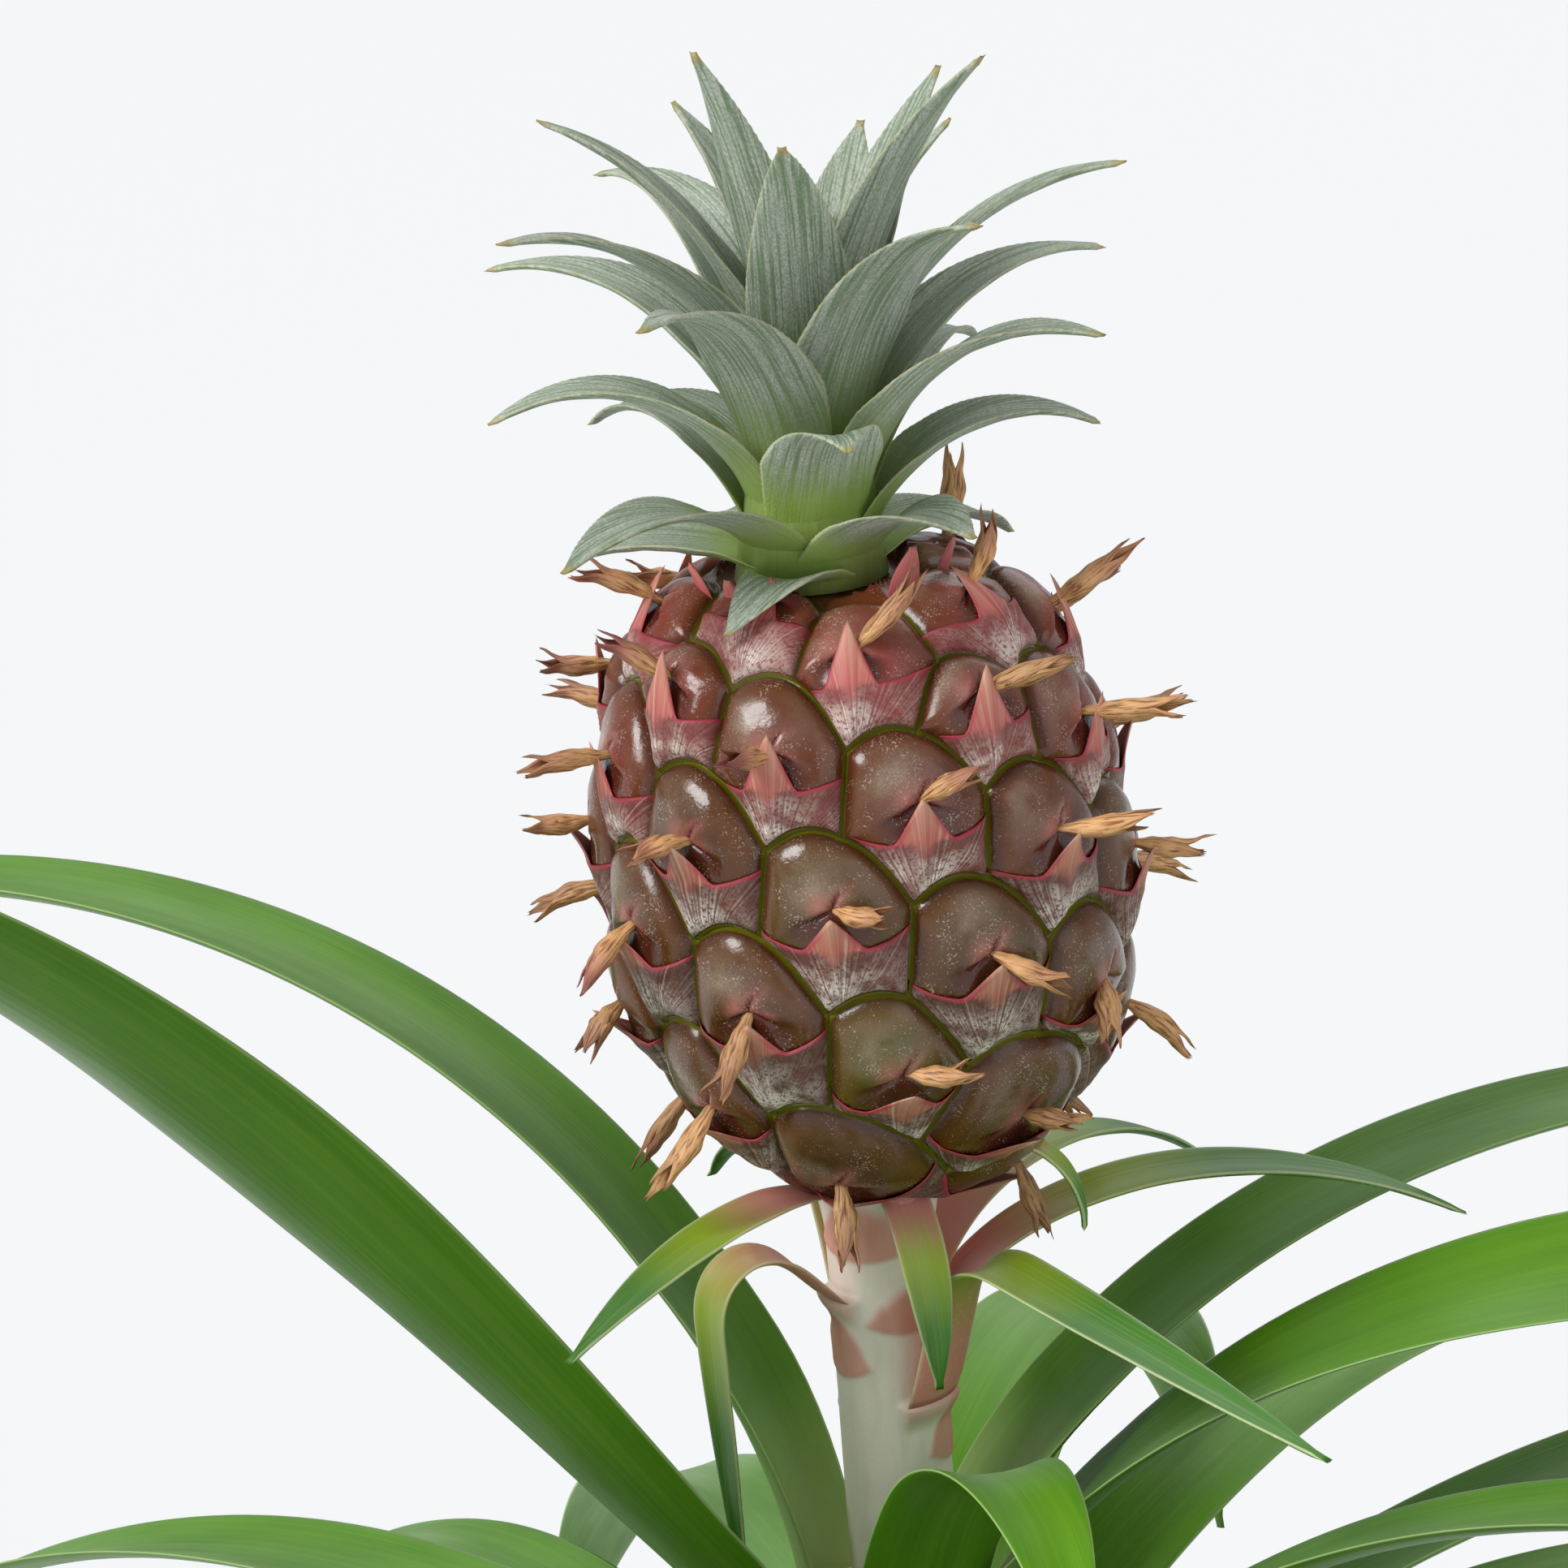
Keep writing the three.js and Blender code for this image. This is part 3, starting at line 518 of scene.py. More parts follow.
def midline(blade, steps):
    """The leaf's middle line: share of the length, distance out, height and slope at each step."""
    points = []
    r = blade["radius"]
    z = blade["height"]
    for i in range(steps + 1):
        s = i / steps
        first, last = blade.get("fold", (0, 0))
        turned = smoothstep(s, first, last) if last else s ** blade["bend"]
        slope = lerp(blade["rise"], blade["fall"], turned)
        points.append((s, r, z, slope))
        r += math.cos(slope) * blade["length"] / steps
        z += math.sin(slope) * blade["length"] / steps
    return points


def section(blade, at, panels):
    """The arc across a leaf: its centre, lift and side directions, half angle, radius and half width."""
    s, r, z, slope = at
    out = outward(blade["azimuth"])
    side = sideways(blade["azimuth"])
    middle = out * r + UP * z + side * (blade["sway"] * blade["length"] * s * s)
    inner = UP * math.cos(slope) - out * math.sin(slope)
    lift = (-out).lerp(inner, smoothstep(s, 0, blade["sheath"])).normalized()
    along = out * math.cos(slope) + UP * math.sin(slope)
    turn = Matrix.Rotation(blade["roll"] * smoothstep(s, 0, 0.5), 3, along)
    lift = turn @ lift
    side = turn @ side
    half = blade["half_width"](s)
    bow = max(half / r, blade["cup"])
    radius = half / bow * (1 + 1 / math.cos(bow / panels)) / 2
    return middle + lift * (half / bow), lift, side, bow, radius, half


def on_section(arc, u, depth):
    """A point of a leaf: u runs from -1 to 1 across it, and the depth through it."""
    centre, lift, side, bow, radius, _ = arc
    distance = radius + depth
    return centre - lift * (distance * math.cos(bow * u)) + side * (distance * math.sin(bow * u))


def add_blade(shell, blade, steps, across, panels, number, tooth=0.0):
    """One leaf as a thin sheet that is thickest along its middle and comes to an edge at its margins."""
    arcs = [section(blade, at, panels) for at in midline(blade, steps)]
    tone = draw(number, 31)

    def shape(u, row, side):
        s = row / steps
        half = arcs[row][-1]
        body = bulge(u, row, steps, 5)
        ripple = 0.12 * body * waver(u * 3, s * 9, number)
        depth = blade["thickness"] * (0.5 + (body if side else -body) / 2) + ripple
        jag = 1 + (tooth / half if abs(u) > 0.999 and row % 2 and half > 1 else 0)
        values = ((u * half + 40 * number, s * blade["length"], abs(u)), (s, side, tone))
        return on_section(arcs[row], u * jag, depth), values

    shell.sheet(across, steps, shape)


# The pot and its soil

POT_HEIGHT = 105
POT_RIM_RADIUS = 60
POT_RIM_HEIGHT = 16
POT_RIM_STEP = 3.5
POT_BASE_RADIUS = 43
POT_WALL = 3.5
POT_FLOOR = 4
POT_EDGE = 1.4
POT_STEPS = 96
DRAIN_HOLES = 4
DRAIN_RADIUS = 4
DRAIN_RING = 27
SOIL_TOP = 95
SOIL_STEPS = 120
SOIL_RINGS = 26
CRUMBS = 260


def pot_inside(z):
    outer = lerp(POT_BASE_RADIUS, POT_RIM_RADIUS - POT_RIM_STEP, clamp(z / (POT_HEIGHT - POT_RIM_HEIGHT)))
    return outer - POT_WALL


def spun(bm, profile, steps):
    """Turns a profile of (radius, height) about the upright axis into a closed skin."""
    verts = [bm.verts.new((r, 0, z)) for r, z in profile]
    edges = [bm.edges.new(pair) for pair in zip(verts, verts[1:])]
    bmesh.ops.spin(
        bm, geom=verts + edges, cent=(0, 0, 0), axis=(0, 0, 1), angle=math.tau, steps=steps, use_merge=True
    )
    bmesh.ops.remove_doubles(bm, verts=bm.verts, dist=SAME_PLACE)
    bmesh.ops.recalc_face_normals(bm, faces=bm.faces)


class PINEAPPLE_OT_pot(bpy.types.Operator):
    """The plain round clay pot, with four drain holes in its floor"""

    bl_idname = "pineapple.pot"
    bl_label = "Clay pot"

    def execute(self, context):
        rim_bottom = POT_HEIGHT - POT_RIM_HEIGHT
        wall = POT_RIM_RADIUS - POT_RIM_STEP
        shell = Shell()
        bm = shell.bm
        profile = [
            (0, 0),
            (POT_BASE_RADIUS, 0),
            (wall, rim_bottom),
            (POT_RIM_RADIUS, rim_bottom),
            (POT_RIM_RADIUS, POT_HEIGHT),
            (wall - POT_WALL, POT_HEIGHT),
            (wall - POT_WALL, rim_bottom),
            (pot_inside(POT_FLOOR), POT_FLOOR),
            (0, POT_FLOOR),
        ]
        spun(bm, profile, POT_STEPS)
        sharp = [e for e in bm.edges if len(e.link_faces) == 2 and e.calc_face_angle(0) > math.radians(35)]
        bmesh.ops.bevel(bm, geom=sharp, offset=POT_EDGE, segments=3, profile=0.5, affect="EDGES", material=-1)
        piece = shell.finish("clay_pot", fired_clay(context.scene.pineapple_pot), "terracotta", "pot")
        cut = bmesh.new()
        for i in range(DRAIN_HOLES):
            bmesh.ops.create_cone(
                cut,
                cap_ends=True,
                segments=32,
                radius1=DRAIN_RADIUS * MM,
                radius2=DRAIN_RADIUS * MM,
                depth=5 * POT_FLOOR * MM,
                matrix=Matrix.Translation(outward(math.tau * (i + 0.5) / DRAIN_HOLES) * DRAIN_RING * MM),
            )
        cutter = as_object("drain_cutter", cut)
        holes = piece.modifiers.new("drain_holes", "BOOLEAN")
        holes.operation = "DIFFERENCE"
        holes.solver = "EXACT"
        holes.object = cutter
        depsgraph = context.evaluated_depsgraph_get()
        done = bpy.data.meshes.new_from_object(piece.evaluated_get(depsgraph))
        piece.modifiers.clear()
        piece.data = done
        bpy.data.objects.remove(cutter)
        return {"FINISHED"}


class PINEAPPLE_OT_soil(bpy.types.Operator):
    """The crumbly potting soil that fills the pot round the trunk"""

    bl_idname = "pineapple.soil"
    bl_label = "Potting soil"

    def execute(self, context):
        settings = context.scene.pineapple_pot
        shell = Shell()
        edge = pot_inside(SOIL_TOP) - GAP
        hole = TRUNK_FOOT_RADIUS + GAP
        floor = POT_FLOOR + GAP
        profile = [(0, floor), (pot_inside(floor) - GAP, floor), (edge, POT_HEIGHT - POT_RIM_HEIGHT)]
        profile += [(lerp(edge, hole, i / SOIL_RINGS), SOIL_TOP) for i in range(SOIL_RINGS + 1)]
        profile += [(hole, TRUNK_BOTTOM - GAP), (0, TRUNK_BOTTOM - GAP)]
        spun(shell.bm, profile, SOIL_STEPS)
        for vert in shell.bm.verts:
            reach = math.hypot(vert.co.x, vert.co.y)
            if vert.co.z > SOIL_TOP - 0.5 and hole + 0.5 < reach < edge - 0.5:
                vert.co.z += settings.lump * 1.1 * noise.noise(vert.co / 5)
                vert.co.z += 0.5 * settings.lump * noise.noise(vert.co / 1.7)
        for i in range(CRUMBS):
            azimuth = i * SPIRAL
            reach = lerp(hole + 2, edge - 3, math.sqrt((i + 0.5) / CRUMBS))
            size = 0.7 + 0.5 * draw(i, 51)
            spot = outward(azimuth) * reach + UP * (SOIL_TOP + 0.5 + 0.3 * draw(i, 52))
            turn = Matrix.Rotation(i * 1.3, 4, Vector((draw(i, 53), draw(i, 54), 1)).normalized())
            stretch = Matrix.Diagonal((1 + 0.5 * draw(i, 55), 1, 0.7, 1))
            bmesh.ops.create_icosphere(
                shell.bm, subdivisions=1, radius=size, matrix=Matrix.Translation(spot) @ turn @ stretch
            )
        shell.finish("potting_soil", potting_soil(settings), "soil", "soil")
        return {"FINISHED"}


# The fruit's base point and lean, and the stalk and trunk under it

FRUIT_HEIGHT = 77.5
FRUIT_RADIUS = 30.5
FRUIT_BASE = Vector((-2.2, -6.6, 210))
HEAD = (
    Matrix.Translation(FRUIT_BASE)
    @ Matrix.Rotation(math.radians(6.5), 4, "X")
    @ Matrix.Rotation(math.radians(-4.2), 4, "Y")
)
# How far the fruit's lower part is pushed to the right, and how deep the flats at its two ends are
LOWER_SWELL = 3
FLAT_BOTTOM = 1.4
FLAT_TOP = 1.6
STALK_RADIUS = 6.6
STALK_LENGTH = 56
TRUNK_FOOT_RADIUS = 16
TRUNK_TOP_RADIUS = 8.2
TRUNK_BOTTOM = 78
TRUNK_FOOT = 93
TRUNK_TOP = 158

# Where leaves left the stalk: azimuth in degrees, height of the mark's lower edge, half its width in degrees
# and its rise
STALK_SCARS = (
    (-25, -7.5, 75, 8),
    (28, -17, 62, 6),
    (-62, -23, 48, 9),
    (78, -35, 46, 12),
    (150, -22, 60, 8),
    (-150, -30, 60, 9),
)

# Rows of points along the stalk and the trunk, and points round them
STALK_ROWS = 150
TRUNK_ROWS = 80
STEM_AROUND = 96


def trunk_radius(z):
    return lerp(TRUNK_FOOT_RADIUS, TRUNK_TOP_RADIUS, clamp((z - TRUNK_FOOT) / (TRUNK_TOP - TRUNK_FOOT)))


def off_centre(azimuth, degrees, half_width):
    """How far an azimuth lies off one in degrees, as a share of half a width in degrees."""
    return abs((math.degrees(azimuth) - degrees + 180) % 360 - 180) / half_width


def scar(azimuth, height):
    """How much of a leaf's pink mark lies at a place on the stalk, from 0 to 1."""
    most = 0.0
    for centre, bottom, width, rise in STALK_SCARS:
        off = off_centre(azimuth, centre, width)
        if off >= 1:
            continue
        low = bottom + 2 * off * off
        top = bottom + rise * (1 - off**1.6)
        ragged = 0.7 * waver(azimuth * 3, height * 0.3, centre)
        inside = min(smoothstep(top - height + ragged, -0.8, 1.4), smoothstep(height - low, -0.4, 0.5))
        most = max(most, inside)
    return most


def collar(azimuth, height):
    """How far the stalk swells under the feet of the leaves that stand on it, from 0 to 1."""
    most = 0.0
    for turn, radius, foot, *_, half_width in STALK_LEAVES:
        off = off_centre(azimuth, turn, math.degrees(half_width / radius))
        level = smoothstep(height, foot - 4, foot - 0.3) * (1 - smoothstep(height, foot - 0.1, foot + 0.5))
        most = max(most, level * (1 - smoothstep(off, 0.85, 1.3)))
    return most


class PINEAPPLE_OT_stem(bpy.types.Operator):
    """The short trunk in the soil and the floury stalk that leans with the fruit"""

    bl_idname = "pineapple.stem"
    bl_label = "Trunk and stalk"

    def execute(self, context):
        shell = Shell("marks")

        def stalk(turn, row):
            azimuth = turn / STEM_AROUND * math.tau
            height = lerp(-STALK_LENGTH, FLAT_BOTTOM - GAP, clamp((row - 1) / (STALK_ROWS - 1)))
            if row in (0, STALK_ROWS + 1):
                return UP * height, ((0, 0, 0),)
            swell = collar(azimuth, height)
            pink = max(scar(azimuth, height), 0.7 * swell)
            radius = STALK_RADIUS + 0.9 * smoothstep(height, -6, FLAT_BOTTOM) + 1.5 * swell
            radius += 0.28 * pink + 0.1 * waver(azimuth * 3, height / 5, 2)
            return outward(azimuth) * radius + UP * height, ((pink, 0, 0),)

        shell.tube(STEM_AROUND, STALK_ROWS + 1, stalk)
        bmesh.ops.transform(shell.bm, matrix=HEAD, verts=shell.bm.verts)

        def trunk(turn, row):
            azimuth = turn / STEM_AROUND * math.tau
            height = lerp(TRUNK_BOTTOM, TRUNK_TOP, clamp((row - 1) / (TRUNK_ROWS - 1)))
            if row in (0, TRUNK_ROWS + 1):
                return UP * height, ((0, 0, 0),)
            radius = trunk_radius(height) - 0.15 + 0.12 * math.sin(height * 1.6 + azimuth)
            return outward(azimuth) * radius + UP * height, ((0, 0, 0),)

        shell.tube(STEM_AROUND, TRUNK_ROWS + 1, trunk)
        shell.finish("trunk_and_stalk", stalk_skin(), "stem", "stem")
        return {"FINISHED"}


# The rosette

ROSETTE_LEAVES = 24
# Leaves with a shape of their own, by number. Rise and fall are the slopes at a leaf's base and tip.
OWN_SHAPE = {
    9: {"rise": 26, "fall": -58},
    10: {"rise": 46, "fall": -44},
    11: {"rise": 17, "fall": -56},
    14: {"rise": 26, "fall": -52},
    15: {"rise": 46, "fall": -44, "length": 200},
    16: {"rise": 14, "fall": -60, "length": 200},
    17: {"rise": 34, "fall": -68, "length": 180},
    18: {"turn": 162, "length": 165, "rise": 50, "fall": -70, "bend": 1},
    19: {
        "turn": -57, "length": 250, "rise": 47, "fall": -25, "bend": 3.2,
        "sway": 0.018, "roll": 20, "half_width": 15,
    },
    20: {"turn": 74, "length": 235, "rise": 74, "fall": -32, "bend": 0.62, "roll": 22},
    21: {"turn": 17, "length": 84, "rise": 73, "fall": -93, "bend": 1.6, "half_width": 8.5},
    22: {"turn": -107, "length": 245, "rise": 82, "fall": -42, "bend": 0.85},
    23: {"turn": 106, "length": 235, "rise": 80, "fall": -38, "bend": 0.6},
}


def rosette_leaf(i, thickness):
    t = i / (ROSETTE_LEAVES - 1)
    own = OWN_SHAPE.get(i, {})
    height = lerp(98, 155, t)
    radius = trunk_radius(height) + GAP
    return {
        "azimuth": math.radians(own.get("turn", 25 + SPIRAL_DEGREES * (i - 20))),
        "radius": radius / math.cos(BASE_ARC / 4),
        "height": height,
        "length": own.get("length", 200 + 45 * math.sin(math.pi * min(1, t * 1.15)) + 8 * draw(i, 1)),
        "rise": math.radians(own.get("rise", lerp(24, 40, t))),
        "fall": math.radians(own.get("fall", lerp(-52, -58, t) + 4 * draw(i, 2))),
        "bend": own.get("bend", 1.25),
        "sway": own.get("sway", 0.05 * draw(i, 3)),
        "roll": math.radians(own.get("roll", 0)),
        "sheath": 0.2,
        "cup": 0.42,
        "thickness": thickness,
        "half_width": strap_width(BASE_ARC * radius, own.get("half_width", 11.3 + 0.6 * draw(i, 4))),
    }


class PINEAPPLE_OT_rosette(bpy.types.Operator):
    """The strap leaves of the rosette, one piece for each leaf"""

    bl_idname = "pineapple.rosette"
    bl_label = "Rosette leaves"

    def execute(self, context):
        settings = context.scene.pineapple_leaf
        material = strap_leaf_skin(settings)
        for i in range(ROSETTE_LEAVES):
            shell = Shell("blade", "skin")
            add_blade(shell, rosette_leaf(i, settings.thickness), steps=72, across=12, panels=4, number=i)
            shell.finish(f"strap_leaf_{i + 1:02d}", material, "leaf", f"leaf_{i + 1:02d}")
        return {"FINISHED"}


# Small leaves on the stalk and under the fruit: azimuth, radius, height, length, rise, fall, bend and half
# width. In place of the bend, a leaf that folds sharply has the shares of its length between which it folds.

STALK_LEAVES = (
    (-62, 7.452, -12.5, 62, 48, -92, (0.07, 0.4), 3.7),
    (47.5, 7.452, -26, 74, 72, -15, (0.18, 0.36), 4.5),
    (97.5, 7.452, -15.2, 70, 57, -32, 0.62, 5),
    (133, 7.452, -12, 55, 56, -42, 0.65, 4),
    (-165, 7.452, -22, 60, 70, -20, 1, 4.5),
)
FRUIT_LEAVES = (
    (-41, 10, 2.6, 46, 18, -22, 0.6, 3.8),
    (19, 7, 2.4, 27, 0, -96, 0.5, 2.9),
    (75, 15, 6.5, 18, 15, -97, 0.77, 1.8),
    (-140, 12, 4, 24, 0, -50, 0.8, 3),
    (160, 12, 4, 20, 0, -60, 0.8, 2.6),
)


def small_leaf(row):
    turn, radius, height, length, rise, fall, bend, half_width = row
    return {
        "azimuth": math.radians(turn),
        "radius": radius,
        "height": height,
        "length": length,
        "rise": math.radians(rise),
        "fall": math.radians(fall),
        "bend": bend,
        "fold": bend if isinstance(bend, tuple) else (0, 0),
        "sway": 0,
        "roll": 0,
        "sheath": 0.25,
        "cup": 0.5,
        "thickness": 0.7,
        "half_width": strap_width(half_width, half_width),
    }


class PINEAPPLE_OT_stalk_leaves(bpy.types.Operator):
    """The small leaves on the stalk and the short ones right under the fruit"""

    bl_idname = "pineapple.stalk_leaves"
    bl_label = "Stalk leaves"

    def execute(self, context):
        material = stalk_leaf_skin(context.scene.pineapple_leaf)
        for i, row in enumerate(STALK_LEAVES):
            shell = Shell("blade", "skin")
            add_blade(shell, small_leaf(row), steps=64, across=10, panels=2, number=i)
            shell.finish(f"small_leaf_{i + 1}", material, "stalk_leaf", f"stalk_leaf_{i + 1}", seat=HEAD)
        shell = Shell("blade", "skin")
        for i, row in enumerate(FRUIT_LEAVES):
            add_blade(shell, small_leaf(row), steps=64, across=10, panels=2, number=i + 7)
        shell.finish("fruit_foot_leaves", material, "stalk_leaf", "fruit", seat=HEAD)
        return {"FINISHED"}


# The fruit: a place on it is kept as a direction on a sphere on which every eye has the same area

# Area of an eye half way up, in square millimetres, and how much less it is at the top than at the foot
EYE_AREA = 293
EYE_AREA_LESS = 222
# Where the spiral starts, counted in eyes, the eye that faces the front and its azimuth
FIRST_EYE = 0.81
FRONT_EYE = 24
EYE_TURN = math.radians(-4.4)
# How far a cell's corners are lowered, in millimetres, and how much its boundary arches
CELL_DROP = 2.3
CELL_ARCH = 0.15
# Steps along one side of a cell and along the fruit's outline, which starts this near its foot, in radians
RIM_PARTS = 9
OUTLINE_STRIPS = 1200
POLE = 1e-4


def outline(angle):
    """Radius and height of the fruit's round form at an angle from 0, its foot, to pi, its top."""
    fullness = 1 if angle < math.pi / 2 else 0.5
    return FRUIT_RADIUS * math.sin(angle) ** fullness, FRUIT_HEIGHT / 2 * (1 - math.cos(angle))


def one_eye(z):
    """The area of an eye at a height."""
    return EYE_AREA - EYE_AREA_LESS * (z / FRUIT_HEIGHT - 0.5)


def eye_count():
    """The outline's angles and how many eyes lie below each."""
    angles = [POLE]
    counts = [0.0]
    before = outline(POLE)
    for i in range(1, OUTLINE_STRIPS + 1):
        angle = POLE + (math.pi - 2 * POLE) * i / OUTLINE_STRIPS
        here = outline(angle)
        strip = math.pi * (here[0] + before[0]) * math.hypot(here[0] - before[0], here[1] - before[1])
        angles.append(angle)
        counts.append(counts[-1] + strip / one_eye(here[1]))
        before = here
    return angles, counts


EYE_ANGLES, EYE_COUNTS = eye_count()
EYE_TOTAL = EYE_COUNTS[-1]


def angle_at(count):
    """The outline's angle that a number of eyes lie below."""
    i = bisect.bisect_left(EYE_COUNTS, count)
    if i <= 0:
        return EYE_ANGLES[0]
    if i >= len(EYE_COUNTS):
        return EYE_ANGLES[-1]
    share = (count - EYE_COUNTS[i - 1]) / (EYE_COUNTS[i] - EYE_COUNTS[i - 1])
    return lerp(EYE_ANGLES[i - 1], EYE_ANGLES[i], share)


def on_fruit(where, raised):
    """The surface point for a direction, raised along the surface's normal, and that normal."""
    z = clamp(where.z / where.length, -1, 1)
    angle = angle_at(EYE_TOTAL * (z + 1) / 2)
    below = outline(angle - 1e-3 if angle > 2e-3 else 1e-3)
    here = outline(angle)
    above = outline(min(angle + 1e-3, math.pi - 1e-6))
    out = Vector((where.x, where.y, 0)).normalized()
    normal = (out * (above[1] - below[1]) + UP * (below[0] - above[0])).normalized()
    point = out * here[0] + UP * here[1] + normal * raised
    point.x += LOWER_SWELL * out.x * out.x * min(1, here[0] / 12) * (1 - here[1] / FRUIT_HEIGHT)
    return point, normal


class Eye:
    """One eye of the fruit, with its place, its directions and the corners of its cell."""

    def __init__(self, k):
        z = 2 * (k + FIRST_EYE) / EYE_TOTAL - 1
        azimuth = EYE_TURN + SPIRAL * (k - FRONT_EYE)
        self.k = k
        self.where = outward(azimuth) * math.sqrt(max(0, 1 - z * z)) + UP * z
        self.point, self.normal = on_fruit(self.where, 0)
        self.across = UP.cross(self.normal).normalized()
        self.side = UP.cross(self.where).normalized()
        self.upward = self.where.cross(self.side)
        self.reach = math.hypot(self.point.x, self.point.y)
        area = one_eye(self.point.z)
        self.size = math.sqrt(area / EYE_AREA)
        self.wide = self.reach / math.sqrt(max(1e-6, 1 - z * z))
        self.tall = area * EYE_TOTAL / (4 * math.pi) / self.wide
        self.corners = []

    def local(self, where):
        """Millimetres across and up from the eye's middle."""
        depth = max(0.05, where.dot(self.where))
        return self.wide * where.dot(self.side) / depth, self.tall * where.dot(self.upward) / depth

    def direction(self, x, y):
        """The direction of a place that lies this far across and up from the eye's middle."""
        return (self.where + self.side * (x / self.wide) + self.upward * (y / self.tall)).normalized()

    def close_cell(self):
        """Sorts the corners and works out the boundary between them."""
        self.corners.sort(key=lambda p: math.atan2(p.dot(self.upward), p.dot(self.side)))
        pairs = zip(self.corners, self.corners[1:] + self.corners[:1])
        self.rim = [cell_edge(a, b, i / RIM_PARTS) for a, b in pairs for i in range(RIM_PARTS)]
        self.outline = [self.local(p) for p in self.rim]

    def low_edge(self, x):
        """Height of the cell's lower boundary at a place across it, or None outside the cell."""
        found = None
        for (ax, ay), (bx, by) in zip(self.outline, self.outline[1:] + self.outline[:1]):
            if min(ax, bx) <= x <= max(ax, bx) and abs(bx - ax) > 1e-9:
                y = lerp(ay, by, (x - ax) / (bx - ax))
                found = y if found is None else min(found, y)
        return found

    def rim_share(self, x, y):
        """How far out a place lies on the way from the eye's middle, 0, to the cell's boundary, 1."""
        for (ax, ay), (bx, by) in zip(self.outline, self.outline[1:] + self.outline[:1]):
            if ax * y - ay * x >= 0 and x * by - y * bx >= 0:
                return (x * (by - ay) - y * (bx - ax)) / (ax * by - ay * bx)
        return 0.0

    def scale_line(self, x):
        """The upper edge of the eye's scale without its tip."""
        return self.size * (-5.0 + 1.6 * (x / (8.1 * self.size)) ** 2)


def lowered(where):
    """A cell's corner, moved down the fruit, because an eye's flower stands above the middle of its cell."""
    reach, z = outline(angle_at(EYE_TOTAL * (where.z + 1) / 2))
    wide = reach / math.sqrt(1 - where.z * where.z)
    tall = one_eye(z) * EYE_TOTAL / (4 * math.pi) / wide
    drop = CELL_DROP * clamp((reach - 5) / 12) / tall
    upward = where.cross(UP.cross(where).normalized())
    return where * math.cos(drop) - upward * math.sin(drop)


def cell_edge(a, b, t):
    """A place on the boundary between two corners, which arches upwards where it runs across the fruit."""
    where = a.lerp(b, t).normalized()
    side = UP.cross(where).normalized()
    arch = CELL_ARCH * 4 * t * (1 - t) * abs((b - a).dot(side))
    return (where + where.cross(side) * arch).normalized()


def make_eyes():
    """All the eyes. A cell's corners are the middles of the triangles between its eye and the neighbours."""
    eyes = [Eye(k) for k in range(int(EYE_TOTAL - FIRST_EYE) + 1) if k + FIRST_EYE < EYE_TOTAL]
    hull = bmesh.new()
    verts = [hull.verts.new(eye.where) for eye in eyes]
    owner = {vert: eye for vert, eye in zip(verts, eyes)}
    bmesh.ops.convex_hull(hull, input=verts)
    for face in hull.faces:
        middle = lowered(sum((vert.co for vert in face.verts), Vector()).normalized())
        for vert in face.verts:
            owner[vert].corners.append(middle)
    hull.free()
    for eye in eyes:
        eye.close_cell()
    return eyes


# The three folds that run out from an eye's middle: direction in degrees, reach in millimetres and bend
FOLDS = ((80, 4.4, -0.14), (203, 5.4, 0.07), (-16, 4.8, -0.05))

# Eyes whose colour differs from the others at their height: from -1, olive, to 1, rose
EYE_TONES = {11: -1, 3: 0.3, 8: 0.1, 24: -0.35, 19: -0.25, 29: 0.3}


def fold_marks(x, y):
    """How deep a place lies in one of the folds, and how near it lies to one, each from 0 to 1."""
    deepest = nearest = 0.0
    for degrees, reach, bend in FOLDS:
        dx, dy = math.cos(math.radians(degrees)), math.sin(math.radians(degrees))
        along = x * dx + y * dy
        off = -x * dy + y * dx - bend * along * along
        if along > 0:
            fade = 1 - smoothstep(along, 0.35 * reach, reach)
            deepest = max(deepest, fade * math.exp(-((off / 0.26) ** 2)))
            nearest = max(nearest, fade * math.exp(-((off / 1.1) ** 2)))
    return deepest, nearest


def lip_mark(x, y):
    """How far a place belongs to the two lobes under the side folds, which lie a little deeper."""
    under = -0.32 * abs(x) - y
    fade = (1 - smoothstep(abs(x), 3.5, 6)) * (1 - smoothstep(under, 2, 4.5))
    return smoothstep(under, -0.1, 0.35) * fade


def keep_clear(point):
    """Keeps the flat seats for the crown and the stalk."""
    if math.hypot(point.x - CROWN_SHIFT, point.y) < 12:
        point.z = min(point.z, FRUIT_HEIGHT - FLAT_TOP)
    if math.hypot(point.x, point.y) < 10:
        point.z = max(point.z, FLAT_BOTTOM)
    return point


def near_axis(eye):
    """How full an eye's forms are: less than 1 near the fruit's two ends."""
    return clamp((eye.reach - 8) / 14, 0.2, 1)


def dome(eye, rho, settings):
    """Height of an eye's surface over the fruit's round form."""
    low = -settings.groove_depth
    rise = (settings.dome - low) * max(0, 1 - rho**2.7) ** 0.5
    return low + rise * lerp(0.6, 1, near_axis(eye))


